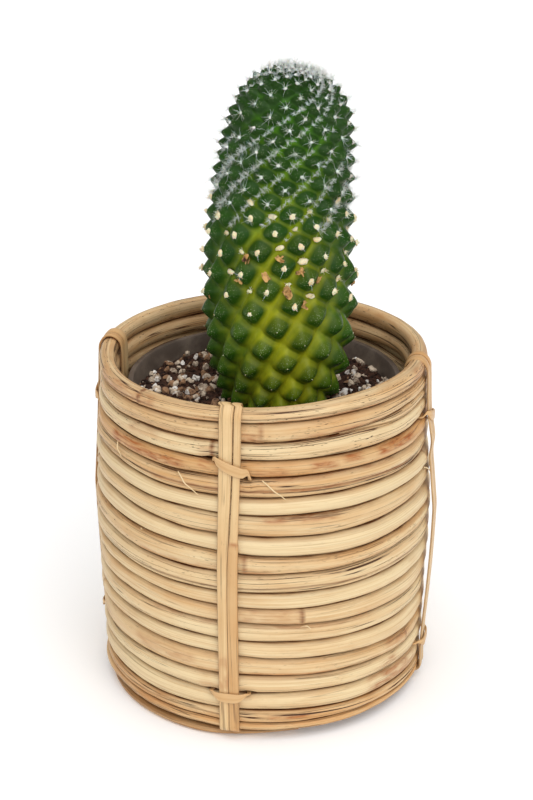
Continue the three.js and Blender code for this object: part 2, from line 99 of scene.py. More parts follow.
def around(degrees, radius, z):
    """Points of the basket, from the angle off the front, the radius and the height."""
    turn = np.radians(degrees)
    return np.stack(np.broadcast_arrays(radius * np.sin(turn), -radius * np.cos(turn), z), axis=-1)


def smooth(x, low, high):
    t = np.clip((x - low) / (high - low), 0, 1)
    return t * t * (3 - 2 * t)


def piece_from(name, points, faces, uv=None, smooth_shaded=True, **measures):
    """A mesh piece from points in millimetres. The measures are numbers for each point, for its finish."""
    mesh = bpy.data.meshes.new(name)
    mesh.from_pydata((np.asarray(points) * 0.001).tolist(), [], np.asarray(faces).tolist())
    if uv is not None:
        mesh.uv_layers.new(name="fibre").data.foreach_set("uv", np.asarray(uv, np.float32).ravel())
    for measure, values in measures.items():
        values = np.asarray(values, np.float32)
        kind, field = ("FLOAT_VECTOR", "vector") if values.ndim == 2 else ("FLOAT", "value")
        mesh.attributes.new(measure, kind, "POINT").data.foreach_set(field, values.ravel())
    mesh.polygons.foreach_set("use_smooth", [smooth_shaded] * len(mesh.polygons))
    piece = bpy.data.objects.new(name, mesh)
    bpy.context.scene.collection.objects.link(piece)
    return piece


def swept(name, rings, closed, u, v, **measures):
    """The skin through a row of rings. u runs along them and v round them, in millimetres of fibre. A measure
    is one number, or one for each ring, each side or each point."""
    long, sides = rings.shape[:2]
    measures = {m: np.broadcast_to(values, (long, sides)).ravel() for m, values in measures.items()}
    spans = long if closed else long - 1
    i, j = np.meshgrid(np.arange(spans), np.arange(sides), indexing="ij")
    corner = lambda di, dj: ((i + di) % long) * sides + (j + dj) % sides
    faces = np.stack([corner(0, 0), corner(0, 1), corner(1, 1), corner(1, 0)], axis=-1).reshape(-1, 4)
    uv = np.stack([np.stack([u[i + di], v[j + dj]], axis=-1) for di, dj in ((0, 0), (0, 1), (1, 1), (1, 0))],
                  axis=2)
    points = rings.reshape(-1, 3)
    a, b, c, d = (points[faces[:, n]] for n in range(4))
    volume = (np.einsum("ij,ij->i", a, np.cross(b, c)) + np.einsum("ij,ij->i", a, np.cross(c, d))).sum()
    uv = uv.reshape(-1, 4, 2)
    if volume < 0:
        faces, uv = faces[:, ::-1], uv[:, ::-1]
    faces, uv = faces.tolist(), uv.reshape(-1, 2)
    if not closed:
        first, last = list(range(sides)), list(range((long - 1) * sides, long * sides))
        faces += [first if volume < 0 else first[::-1], last[::-1] if volume < 0 else last]
        uv = np.vstack([uv, np.zeros((2 * sides, 2))])
    return piece_from(name, points, faces_list(faces), uv, **measures)


def faces_list(faces):
    """Faces of different sizes can't be one array, so they are kept as lists."""
    out = np.empty(len(faces), object)
    out[:] = faces
    return out


def round_section(sides, power, bias=0.0):
    """Unit points of a rounded section, with more of them towards +x as bias grows."""
    step = np.arange(sides) * 2 * math.pi / sides
    turn = step - bias * np.sin(step)
    x, y = np.cos(turn), np.sin(turn)
    return np.sign(x) * np.abs(x) ** (2 / power), np.sign(y) * np.abs(y) ** (2 / power)


def cane_finish(name, pale, warm, gloss):
    """Peeled rattan: long parallel fibres, pores drawn out into dashes, fine splits, and brown stains. The
    fibre map is in millimetres, along and across the cane. Fibres are 0.5 mm wide, coarser than real, so that
    they show."""
    material, tree = new_material(name)
    fibre_map = add(tree, "UVMap", uv_map="fibre")

    def grain(along, across, detail=3.0, distortion=0.0):
        """Noise drawn out along the cane, from its length and width in millimetres."""
        place = add(tree, "VectorMath", (fibre_map, (1 / along, 1 / across, 1)), operation="MULTIPLY")
        links = {"Vector": place, "Scale": 1.0, "Detail": detail, "Distortion": distortion}
        return add(tree, "TexNoise", links)

    measure = {m: add(tree, "Attribute", attribute_name=m, out="Fac")
               for m in ("tone", "stain", "pores", "split", "crease")}
    fibres = grain(70, 0.5)
    bands = grain(160, 2.6, 2.0)
    patches = grain(22, 7, 4.0, 0.6)

    # Tone: the cane's own, with bands and patches of warmer peel.
    shift = add(tree, "Math", (bands, 1.1, -0.55), operation="MULTIPLY_ADD")
    shift = add(tree, "Math", (patches, 0.9, shift), operation="MULTIPLY_ADD")
    shift = add(tree, "Math", (shift, 0.45), operation="SUBTRACT")
    warmth = add(tree, "Math", (measure["tone"], shift), operation="ADD", use_clamp=True)
    colour = add(tree, "Mix", {0: warmth, 6: linear(pale), 7: linear(warm)}, data_type="RGBA", out=2)
    streak = add(tree, "MapRange", (fibres, 0.48, 0.72, 0.0, 0.42))

    # Stains are ragged along the fibres. Splits are thin lines that wander along the cane, where noise
    # crosses one value. Pores are short dashes, in groups. The creases where two canes meet and the edges of
    # strips are painted dark brown, made uneven by noise, as painted shade; a node's dark ring comes with it.
    ragged = add(tree, "MapRange", (grain(9, 2.2, 5.0, 0.8), 0.30, 0.66))
    off_line = add(tree, "Math", (grain(190, 2.4, 2.0, 0.3), 0.5), operation="SUBTRACT")
    off_line = add(tree, "Math", {0: off_line}, operation="ABSOLUTE")
    on_line = add(tree, "MapRange", (off_line, 0.004, 0.016, 1.0, 0.0))
    broken = add(tree, "MapRange", (grain(26, 3.0, 3.0), 0.42, 0.52))
    dash = add(tree, "MapRange", (grain(2.6, 0.34, 1.0), 0.635, 0.70))
    group = add(tree, "MapRange", (grain(20, 1.6, 3.0), 0.50, 0.60))
    uneven = add(tree, "MapRange", (grain(14, 1.6, 4.0), 0.28, 0.72, 0.15, 1.5))
    layers = {  # what each layer's strength is the product of, and its colour
        "streak": ([streak], "#B98A52"),
        "stain": ([measure["stain"], ragged], "#A55A22"),
        "split": ([on_line, broken, measure["split"]], "#4A2A12"),
        "pores": ([dash, group, measure["pores"]], "#3F2410"),
        # The layer named dust is painted shade in the creases and along edges, with a node's own dark ring.
        "dust": ([measure["crease"], uneven], "#6A3A18"),
    }
    laid = {}
    for layer, ((strength, *factors), tint) in layers.items():
        for factor in factors:
            strength = add(tree, "Math", (strength, factor), operation="MULTIPLY", use_clamp=True)
        colour = add(tree, "Mix", {0: strength, 6: colour, 7: linear(tint)}, data_type="RGBA", out=2)
        laid[layer] = strength

    deep = add(tree, "Math", (laid["split"], laid["pores"]), operation="ADD")
    relief = add(tree, "Math", (fibres, 0.35), operation="MULTIPLY")
    relief = add(tree, "Math", (relief, deep), operation="SUBTRACT")
    bump = add(tree, "Bump", {"Height": relief, "Distance": 0.0003, "Strength": 0.75})
    rough = add(tree, "MapRange", (fibres, 0.3, 0.7, gloss - 0.06, gloss + 0.12))
    shader = add(tree, "BsdfPrincipled", {"Base Color": colour, "Roughness": rough, "Normal": bump,
                                          "Specular IOR Level": 0.35})
    add(tree, "OutputMaterial", {"Surface": shader})
    return material


def seated(piece, material, slot, *nodes):
    """Gives a finished piece its finish, and hides the CAD nodes it stands for."""
    piece.data.materials.clear()
    piece.data.materials.append(material)
    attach(piece, "root")
    if nodes:
        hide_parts(*nodes)


coil_start = COIL_OUTER - COIL_WIDTH / 2
coil_turned, coil_radius = [0.0], [coil_start]
while coil_radius[-1] > COIL_INNER:
    coil_turned.append(coil_turned[-1] + math.degrees(COIL_STEP / coil_radius[-1]))
    coil_radius.append(coil_start - COIL_PITCH * coil_turned[-1] / 360)
coil_turned, coil_radius = np.array(coil_turned)[:, None], np.array(coil_radius)[:, None]
fullness = smooth(coil_turned, 0, COIL_TAPER_DEG)
half = COIL_WIDTH / 2 * (0.55 + 0.45 * fullness)
flatter = 0.35 + 0.65 * fullness
flat_x = np.array([-1, -0.93, -0.7, -0.5, 0.5, 0.7, 0.93, 1, 0.97, 0.5, -0.5, -0.97])
flat_z = np.array([0.62, 0.3, 0.08, 0, 0, 0.08, 0.3, 0.62, 0.93, 1, 1, 0.93])
rings = around(COIL_TAIL_DEG - coil_turned, coil_radius - COIL_WIDTH / 2 + half * (flat_x + 1),
               COIL_THICKNESS * (flat_z * flatter + (1 - flatter) * 0.9))
rattan = cane_finish("peeled rattan cane", "#E9D1A4", "#CE985C", 0.46)
# Painted shade along the coil's edges, where one turn meets the next.
coil = swept("floor_coil_wound", rings, False, COIL_STEP * np.arange(1, len(rings) + 1),
             np.append(1.7 * np.arange(1, 13), 22), tone=0.75, stain=0.12, pores=0.4, split=0.5,
             crease=0.4 * smooth(np.abs(flat_x), 0.85, 1.0))
seated(coil, rattan, "rattan", "floor_coil")

# ---- Wall canes --------------------------------------------------------------------------------------------
# The wall is a stack of round rattan canes, each bent to a ring and pressed down on the one below, with two
# fine canes at the foot. The canes are not quite even: each crease rises and falls, and some canes are split
# or stained.

ROW_HEIGHTS = [7, 8, 7, 7.5, 8.5, 8, 8.5, 8.5, 8, 8, 7, 6.5, 8.5, 7, 8.5, 8, 7.5, 4.9, 3.2]
FINE_ROWS = 2
FINE_THICKNESS = 5.0
BASKET_HEIGHT = 145.0
WALL_Z = [0, 13, 45, 80, 115, 130, 145]
WALL_RADIUS = [67.6, 67.4, 68.7, 70.1, 68.2, 67.4, 66.9]
STATIONS = [-101.6, -11.6, 78.4, 168.4]  # where the straps cross, degrees from the front towards +X
TIE_REACH = 6.2
TIE_ROWS = {"upper": (3, 4), "lower": (16, 16)}  # a tie dives below these rows, left and right
NOTCH = 0.65
# How far each crease strays from level, at these angles.
WAVE_ANGLES = [-150, -105, -60, -30, 0, 30, 60, 105, 150]
WAVES = [
    (0, -0.2, -1.4, -0.9, -0.5, 1.1, 1.2, 0.4, 0),
    (-0.2, -0.2, -0.5, 0.1, 1, 1.7, 0.9, 0.4, 0),
    (0, -0.1, -0.2, 1.1, 0.7, 1.9, 1.3, 0.5, 0),
    (0.4, 0.2, 0.4, 0.2, 0.8, 0.3, -0.9, -0.4, -0.2),
    (0.1, 0.6, 1.1, 0.7, 1, 1.2, -0.7, -0.3, 0.4),
    (0.5, 1.5, 3, 0.9, 1.4, 0.6, -0.2, -0.1, 0.2),
    (0.3, 1.6, 3.1, 2.4, 1.7, 1.1, 0.6, 0.2, 0),
    (0, 2.7, 5.4, 2.1, 1.3, 0.1, 0.9, 0.4, 0),
    (0.4, 2.6, 5.2, 3.7, 1.5, -0.2, 0.4, 0.2, 0),
    (0, 2.2, 4.4, 1.9, 1.8, 1.5, 3, 1.2, 0.4),
    (0.3, 1.8, 3.6, 1.7, 1.3, 0.7, 0.5, 0.2, 0.3),
    (0.2, 3, 6, 2.7, 1.4, 0.1, 0.2, 0.1, 0),
    (0, 1.9, 3.9, 1.7, 1, -1.1, -2.5, -1, 0.1),
    (0.4, 1.8, 3.5, 2.5, 0.8, -0.6, -1.9, -0.8, 0.2),
    (0, 1.9, 3.7, 2.9, 0.6, -1.6, -4.5, -1.8, 0),
    (0.2, 0.8, 1.5, 1.1, 0.9, -0.7, -3, -1.2, 0.5),
    (0, 1.8, 3.6, 1.2, 0.6, 0, -2.2, -0.9, 0),
    (0, 0.7, 1.4, 0.1, 0.5, -0.8, -2.6, -1, 0),
    (0, 0.9, 1.9, 0.6, -0.8, -0.6, -1.3, -0.5, 0.3),
    (0, 0.4, 0.8, 0.5, -1, -0.9, -0.6, -0.2, 0.4),
    (0, 0, 0, 0, 0, 0, 0, 0, 0),
]
ROW_TONES = [0.42, 0.5, 0.2, 0.72, 0.46, 0.08, 0.26, 0.1, 0.44, 0.24, 0.14, 0.34, 0.14, 0.22, 0.46, 0.12,
             0.08, 0.6, 0.66]
ROW_PORES = [1.3, 0.9, 1, 0.7, 0.6, 0.1, 0.3, 0.15, 0.8, 0.6, 0.2, 0.2, 0.3, 0.2, 0.5, 0.3, 0.2, 0.4, 0.3]
ROW_SPLITS = [1, 0.9, 1, 0.5, 1, 0.1, 0.6, 0.15, 0.5, 1, 0.1, 0.3, 0.8, 0.2, 0.5, 0.7, 0.3, 1, 0.8]
# A lengthwise split right through a cane's face, as its place between the cane's foot (-1) and top (1).
DEEP_SPLITS = {0: -0.28, 4: -0.1, 9: -0.4, 17: 0.1}
# Nodes, where a leaf sheath sat: row, degrees.
NODES = [
    (1, -1.1), (8, -6.5), (11, 12.8), (14, 60.3), (0, -47), (5, 74), (2, -17), (6, -84), (12, 128), (9, -140),
    (4, 160), (15, -118), (3, 101), (10, 118), (13, -78), (7, 150), (16, 96),
]
# Marks: row, from and to in degrees, foot and top on the cane's face, how strong.
STAINS = [
    (0, -66, 66, -1.1, -0.55, 0.75), (0, -75, -40, -0.9, 0.9, 0.55), (0, 62, 100, -0.9, 0.9, 0.6),
    (1, -7, -1.4, -0.9, 0.1, 0.8), (1, -60, -20, -0.9, -0.2, 0.35), (1, 10, 22, -1.0, -0.3, 0.5),
    (1, 24, 46, -0.9, -0.3, 0.7), (2, -52, -38, 0.1, 0.9, 0.4), (2, -22, -17, -0.7, 0.6, 0.35),
    (3, -62, -44, -0.6, 0.7, 1.0), (3, -44, -28, -0.5, 0.5, 0.9), (3, -22, -18, 0, 0.9, 0.7),
    (3, -3, 8, -1, 0.3, 0.55), (3, 16, 25, -0.2, 0.6, 0.95), (3, 28, 35, 0.1, 0.9, 0.9),
    (3, 42, 62, -0.1, 0.9, 1.0), (4, -40, 62, -0.3, 0.05, 0.7), (4, 4, 50, 0.75, 1.1, 0.6),
    (6, 0, 26, 0.55, 1.1, 0.8), (6, -34, 4, -1.1, -0.6, 0.35), (8, -45, -13, -0.9, -0.3, 0.4),
    (8, -6, 2, -1, -0.2, 0.5), (11, -8, 13, -0.9, 0.9, 0.4), (11, 10.5, 13.5, -0.9, 0.9, 0.6),
    (12, -40, 40, 0.6, 1.0, 0.4), (14, -50, -24, -0.4, 0.5, 0.35), (14, -12, 24, -1, -0.5, 0.55),
    (14, 48, 64, -0.5, 0.9, 0.45), (15, -22, -12, -0.8, 0, 0.4), (16, 40, 70, -0.8, 0.9, 0.75),
    (15, 46, 54, -0.3, 0.5, 0.7), (17, -70, -32, -1, 1, 0.3), (18, -70, -30, -1, 1, 0.35),
    (17, 2, 16, -0.3, 0.4, 0.9),
]
ALONG, ROUND = 264, 36  # rings along a cane, and points round it
MM_PER_DEGREE = 1.2  # along the wall
RING_RADIUS = 69  # of a cane on its fibre map
ROW_SHIFT = 977, 41  # from one row to the next on the fibre map, so that no two look alike

edges = BASKET_HEIGHT - np.cumsum([0, *ROW_HEIGHTS])
row_count = len(ROW_HEIGHTS)


def wall_radius(z):
    return np.interp(z, WALL_Z, WALL_RADIUS)


def apart(degrees, other):
    """How far two directions are from each other, in degrees."""
    return np.abs((degrees - other + 180) % 360 - 180)


def ripple(degrees, seed, longest=3, shortest=17):
    """A closed random wave round the basket, about -1 to 1."""
    random = np.random.default_rng(seed)
    total = 0 * degrees
    for turns in range(longest, shortest):
        phase = random.uniform(0, 2 * math.pi)
        total = total + np.sin(np.radians(degrees) * turns + phase) * random.uniform(0.2, 1)
    return total / math.sqrt(shortest - longest)


def crease_height(index, degrees):
    """The height of the crease above a row, all round the basket."""
    every = np.arange(-180, 180, 3)
    knots = np.interp(every, WAVE_ANGLES, WAVES[index], period=360)
    window = np.hanning(15) / np.hanning(15).sum()
    knots = np.convolve(np.concatenate([knots[-7:], knots, knots[:7]]), window, "valid")
    wave = np.interp(degrees, every, knots, period=360)
    stray = 0.16 * ripple(degrees, 40 + index) if 0 < index < row_count else 0
    return edges[index] + wave + stray


def notch(index, top, degrees):
    """How much a row gives way where a tie dives past it."""
    depth = np.zeros_like(degrees)
    for station in STATIONS:
        for left, right in TIE_ROWS.values():
            for angle, below in ((station - TIE_REACH, left), (station + TIE_REACH, right)):
                if index == (below if top else below - 1):
                    depth = np.maximum(depth, NOTCH * (1 - smooth(apart(degrees, angle), 0, 4)))
    return depth


def wedge_room(degrees):
    """The room between the second and the third cane, where a short cane is let in at the right."""
    return 3.0 * smooth(degrees, 29, 58) * (1 - smooth(degrees, 112, 150))


angle = (STATIONS[0] + np.arange(ALONG) * 360 / ALONG + 180) % 360 - 180
for index in range(row_count):
    fine = index >= row_count - FINE_ROWS
    top = crease_height(index, angle) - notch(index, True, angle) - 0.05
    bottom = crease_height(index + 1, angle) + notch(index, False, angle) + 0.05
    if index == 1:
        bottom = bottom + wedge_room(angle) / 2
    if index == 2:
        top = top - wedge_room(angle) / 2
    thickness = FINE_THICKNESS if fine else ROW_HEIGHTS[index] - 0.3
    x, z = round_section(ROUND, 2.5 if fine else 2.25, 0.32)
    middle, tall = ((top + bottom) / 2)[:, None], ((top - bottom) / 2)[:, None]
    pushed = (0.42 + 0.38 * ripple(angle, 70 + index, 2, 11))[:, None].clip(0, 1.3)
    from_nodes = [MM_PER_DEGREE * apart(angle, place)[:, None] for row, place in NODES if row == index]
    # The face between foot and top, lumpy where the cane was peeled by hand and swollen at a node.
    lump = 0.10 * ripple(angle[:, None] + 9 * z, 130 + index, 8, 40)
    for away in from_nodes:
        lump = lump + 0.32 * np.exp(-((away / 1.3) ** 2)) - 0.2 * np.exp(-(((away - 2.4) / 0.8) ** 2))
    lump = np.minimum(lump, 0.3) * (x > 0)
    radius = wall_radius(middle) - pushed - thickness / 2 + thickness / 2 * x + lump

    # The inner face of each cane is made a little darker and warmer than its outer face.
    stain = np.where(x < -0.1, 0.22, 0.0)
    for row, start, end, low, high, strength in STAINS:
        if row == index:
            soft = min(4, (end - start) / 2) / 2
            span = smooth(angle, start - soft, start + soft) * (1 - smooth(angle, end - soft, end + soft))
            face = smooth(z, low - 0.2, low + 0.15) * (1 - smooth(z, high - 0.15, high + 0.2)) * (x > -0.1)
            stain = np.maximum(stain, strength * span[:, None] * face)
    # Painted shade: each cane is painted darker towards its top and bottom, where it meets its neighbours, a
    # little on its inside face, and in a broad band over its outer face towards the creases.
    crease = np.maximum(smooth(np.abs(z) if index else -z, 0.86, 1.0), 0.1 * smooth(-x, 0.2, 0.9))
    crease = np.maximum(crease, 0.26 * smooth(np.abs(z), 0.5, 0.9) * (x > 0))
    for away in from_nodes:
        stain = np.maximum(stain, 0.9 * np.exp(-((away / 0.84) ** 2)))
        # A node's own dark ring, laid into the measure of painted crease shade.
        crease = np.maximum(crease, 0.7 * np.exp(-((away / 0.54) ** 2)) * (x > -0.2))
    if index in DEEP_SPLITS:
        off_line = z - DEEP_SPLITS[index] - 0.10 * ripple(angle, 200 + index, 2, 9)[:, None]
        here = smooth(ripple(angle, 230 + index, 1, 5), -0.75, -0.3)[:, None] * (x > 0)
        radius = radius - 0.75 * here * np.exp(-((off_line / 0.085) ** 2))
        # Painted shade along the split's groove.
        crease = np.maximum(crease, 0.8 * here * np.exp(-((off_line / 0.10) ** 2)))
    tone = ROW_TONES[index] + np.where(x < -0.1, 0.1, 0.0) + 0.12 * ripple(angle, 300 + index, 1, 6)[:, None]
    cane = swept(
        f"cane_{index + 1:02d}", around(angle[:, None], radius, middle + tall * z), True,
        np.arange(ALONG + 1) * 2 * math.pi * RING_RADIUS / ALONG + index * ROW_SHIFT[0],
        np.append(np.arctan2(z, x) % (2 * math.pi), 2 * math.pi) * thickness / 2 + index * ROW_SHIFT[1],
        tone=tone, stain=stain, pores=ROW_PORES[index], split=ROW_SPLITS[index], crease=crease,
    )
    seated(cane, rattan, "rattan", f"cane_row_{index + 1:02d}")

# ---- Let-in cane and splinters -----------------------------------------------------------------------------
# A short cane, cut to a point, is let in between the second and the third row at the right. A few thin
# slivers of peel have lifted off the canes and stand up from them.

WEDGE_STEPS, WEDGE_SIDES = 110, 20
wedge_angle = np.linspace(27, 150, WEDGE_STEPS)[:, None]
room = np.maximum(wedge_room(wedge_angle), 0.12)
wedge_z = crease_height(2, wedge_angle)
x, z = round_section(WEDGE_SIDES, 2.2)
dents = 0.3 * ripple(wedge_angle, 9).clip(-1, 0)
radius = wall_radius(wedge_z) - 3.1 + (0.4 + 2.2 * smooth(room, 0, 3.0)) * x + dents
# Painted shade along its top and bottom, where it is pressed between the canes.
wedge = swept("let_in_cane", around(wedge_angle, radius, wedge_z + (room / 2 + 0.25) * z), False,
              1.35 * np.arange(WEDGE_STEPS), 0.6 * np.arange(1, WEDGE_SIDES + 2), tone=0.3, stain=0.15,
              pores=0.8, split=1.0, crease=smooth(np.abs(z), 0.8, 1.0))
seated(wedge, rattan, "rattan")

SLIVERS = [  # three places each, as degrees, height, stand-off from the wall
    [(-29.0, 116.6, -0.2), (-26.0, 112.0, 1.0), (-21.4, 108.9, 0.6)],
    [(-0.4, 116.6, -0.2), (3.5, 111.7, 1.1), (7.3, 108.6, 0.5)],
    [(-57.9, 118.9, -0.1), (-56.8, 115.7, 0.9), (-54.6, 113.7, 0.5)],
    [(12.3, 52.4, 0.1), (14.2, 52.2, 0.6), (15.6, 51.4, 0.8)],
    [(71.0, 101.0, -0.2), (73.5, 98.2, 0.9), (76.0, 96.8, 0.7)],
    [(-44.0, 87.6, 0.0), (-43.0, 88.4, 0.7), (-41.6, 88.5, 0.5)],
]
SLIVER_STEPS, SLIVER_SIDES = 14, 6
for number, places in enumerate(SLIVERS):
    share = np.linspace(0, 1, SLIVER_STEPS)[:, None]
    a, h, off = (np.interp(share, [0, 0.5, 1], values) for values in zip(*places))
    h = h + 0.8 * np.sin(share * math.pi) * np.sign(places[0][1] - places[2][1])
    thick = 0.26 * (1 - 0.75 * np.abs(share - 0.4))
    x, z = round_section(SLIVER_SIDES, 2.0)
    rings = around(a + np.degrees(thick * z / 70), wall_radius(h) + off + thick * x, h + thick * z * 0.6)
    sliver = swept(f"sliver_{number + 1}", rings, False, 1.0 * np.arange(SLIVER_STEPS),
                   0.25 * np.arange(SLIVER_SIDES + 1), tone=0.1, stain=0, pores=0, split=0, crease=0)
    seated(sliver, rattan, "rattan")

# ---- Straps ------------------------------------------------------------------------------------------------
# At four places two flat strips of rattan peel run side by side round the whole wall: up the outside, over
# the rim, down the inside and back under the lowest cane. Peel is the cane's smooth skin, glossier and more
# even than the cane.

STRIP_WIDTHS = [5.1, 3.9]
STRIP_SPACING = 0.3
STRIP_THICKNESS = 1.0
STRIP_INSIDE = 59.05  # the inner run's outer face
STRAP_SLACK = [0.4, 0, 1.1, 0.3]
SLACK_SPAN = [24, 106]
KINK_HEIGHT = 112.0  # the right-hand strap bulges where it was joined
JOINT_HEIGHT = 89.7  # the front strap's right strip is pieced together here
STRIP_LIFT = 0.85  # of its middle off the wall outside
STRIP_FOOT = 3.82
STRIP_STEPS, STRIP_SIDES = 230, 16
FRONT, RIGHT = 1, 2  # stations
MID_WALL = 64  # radius between the strips' inner and outer runs
STRAP_SHIFT, STRIP_SHIFT = 613, (300, 60)  # on the fibre map

peel = cane_finish("rattan peel", "#E6C795", "#CC9A62", 0.38)


def through(points, count, closed):
    """Evenly spaced points on a smooth curve through the given ones."""
    points = np.asarray(points, float)
    n = len(points)
    grid = []
    for i in range(n if closed else n - 1):
        if closed:
            p0, p1, p2, p3 = (points[(i + k) % n] for k in (-1, 0, 1, 2))
        else:
            p1, p2 = points[i], points[i + 1]
            p0 = points[i - 1] if i else 2 * p1 - p2
            p3 = points[i + 2] if i + 2 < n else 2 * p2 - p1
        gaps = [max(1e-6, np.linalg.norm(b - a)) ** 0.5 for a, b in ((p0, p1), (p1, p2), (p2, p3))]
        m1 = p2 - p1 + gaps[1] * ((p1 - p0) / gaps[0] - (p2 - p0) / (gaps[0] + gaps[1]))
        m2 = p2 - p1 + gaps[1] * ((p3 - p2) / gaps[2] - (p3 - p1) / (gaps[1] + gaps[2]))
        t = np.linspace(0, 1, 24, endpoint=False)[:, None]
        ease = 3 * t**2 - 2 * t**3
        grid.append((1 - ease) * p1 + (t**3 - 2 * t**2 + t) * m1 + ease * p2 + (t**3 - t**2) * m2)
    grid = np.vstack([*grid, points[:1] if closed else points[-1:]])
    gone = np.append(0, np.cumsum(np.linalg.norm(np.diff(grid, axis=0), axis=1)))
    at = np.linspace(0, gone[-1], count + 1)[:-1] if closed else np.linspace(0, gone[-1], count)
    return np.stack([np.interp(at, gone, grid[:, k]) for k in range(grid.shape[1])], axis=1), gone[-1]


def strip_path(station):
    """The middle of a strip as [radius, height] round the wall, from the foot inside."""
    low, high = SLACK_SPAN
    outside = []
    for h in np.arange(8, 134, 6.0):
        bow = STRAP_SLACK[station] * max(0, math.sin(math.pi * (h - low) / (high - low)))
        if station == RIGHT:
            bow += 1.2 * math.exp(-(((h - KINK_HEIGHT) / 5) ** 2))
        outside.append([wall_radius(h) + STRIP_LIFT + bow, h])
    foot, ground, rim = STRIP_FOOT, wall_radius(0), wall_radius(BASKET_HEIGHT)
    return [
        [STRIP_INSIDE + 1.6, foot], [MID_WALL, foot], [ground - 1.4, foot + 0.1], [ground + 0.3, foot + 1.1],
        [ground + 0.8, foot + 2.8], *outside, [wall_radius(138) + STRIP_LIFT, 138.5],
        [wall_radius(141) + 0.55, 142.2], [rim - 1.5, 145.2], [rim - 3.4, 145.85], [rim - 5.6, 145.4],
        [STRIP_INSIDE + 0.1, 143.2], [STRIP_INSIDE - 0.5, 140],
        *[[STRIP_INSIDE - 0.5, h] for h in (132, 120, 100, 80, 60, 40, 20, 10)],
        [STRIP_INSIDE - 0.2, foot + 1.8],
    ]


pair_width = sum(STRIP_WIDTHS) + STRIP_SPACING
for number, station in enumerate(STATIONS):
    centreline, length = through(strip_path(number), STRIP_STEPS, True)
    forward = np.roll(centreline, -1, axis=0) - np.roll(centreline, 1, axis=0)
    forward /= np.linalg.norm(forward, axis=1)[:, None]
    h = centreline[:, 1:]
    outside = centreline[:, :1] > MID_WALL
    x, z = round_section(STRIP_SIDES, 4.0)
    raised = (STRIP_THICKNESS / 2 - 0.04) * z * (1 - 0.25 * x * x) + 0.05 * z
    run = around(station, centreline[:, :1] + forward[:, 1:] * raised, h - forward[:, :1] * raised)
    offset = -pair_width / 2
    for strip, width in enumerate(STRIP_WIDTHS):
        pieced = (number == FRONT and strip == 1) * outside * 1.0
        place = offset + width / 2 + 0.12 * np.sin(h / 17 + station + strip * 2)
        broad = width / 2 - 0.08
        if number == FRONT:
            # This pair drifts to the right on its way up, and its left strip is broader at the rim.
            rim = outside * smooth(h, 60, 140)
            left_edge, seam, right_edge = -4.0 + 0.65 * rim, -0.08 + 2.3 * rim, 4.2 + 1.5 * rim
            low, high = (left_edge, seam) if strip == 0 else (seam, right_edge)
            place = np.where(outside, (low + high) / 2, place)
            broad = np.where(outside, (high - low) / 2, broad)
        broad = broad - 0.28 * pieced * smooth(h, JOINT_HEIGHT, JOINT_HEIGHT + 0.8)
        tone = 0.28 + 0.16 * strip + 0.25 * pieced * (1 - smooth(h, JOINT_HEIGHT - 1, JOINT_HEIGHT))
        stain = 0.9 * pieced * np.exp(-(((h - JOINT_HEIGHT) / 0.7) ** 2))
        soiled = (number == FRONT and strip == 0) * outside * smooth(h, 22, 25) * (1 - smooth(h, 36, 42))
        # Painted shade along each strip's edges.
        band = swept(
            f"strap_{number + 1}_{strip + 1}", run + around(station + 90, place + broad * x, 0), True,
            np.arange(STRIP_STEPS + 1) * length / STRIP_STEPS + number * STRAP_SHIFT + strip * STRIP_SHIFT[0],
            width / 7 * np.arange(1, STRIP_SIDES + 2) + strip * STRIP_SHIFT[1],
            tone=tone + (0.1 if number == FRONT else 0.45) * smooth(h, 139, 143), stain=stain + 0.55 * soiled,
            pores=0.15, split=0.45, crease=0.55 * smooth(np.abs(x), 0.86, 1.0),
        )
        seated(band, peel, "peel", f"strap_{number + 1}_strip_{strip + 1}")
        offset += width + STRIP_SPACING

# ---- Ties --------------------------------------------------------------------------------------------------
# Two short ties of the same peel hold each pair of strips. A tie crosses the strips outside, is drawn in flat
# between two canes, crosses the strips inside and comes back. The upper one slants like a leaf; the lower one
# sags.

TIE_THICKNESS = 0.8
TIE_SAG = {"upper": 0.5, "lower": 3.0}
TIE_STEPS, TIE_SIDES = 110, 14
# Its face outside: the start above the row at its left, the climb to the right, and the dip between. Then
# stops from left to right: the share of the way, half the width there and the height off the line.
TIE_FACES = {
    "upper": ((1.6, 1.9, 0.9), [(0.03, 0.7, 0.4), (0.12, 1.7, 0.1), (0.3, 2.2, 0), (0.5, 2.35, 0),
                                (0.7, 2.3, 0), (0.86, 2.0, 0), (0.96, 1.4, 0.2)]),
    "lower": ((0, 0, 0), [(0.03, 0.6, 0.7), (0.12, 1.3, 0), (0.24, 1.9, -0.6), (0.5, 2.2, -0.9),
                          (0.76, 1.9, -0.6), (0.88, 1.3, 0), (0.97, 0.6, 0.7)]),
}

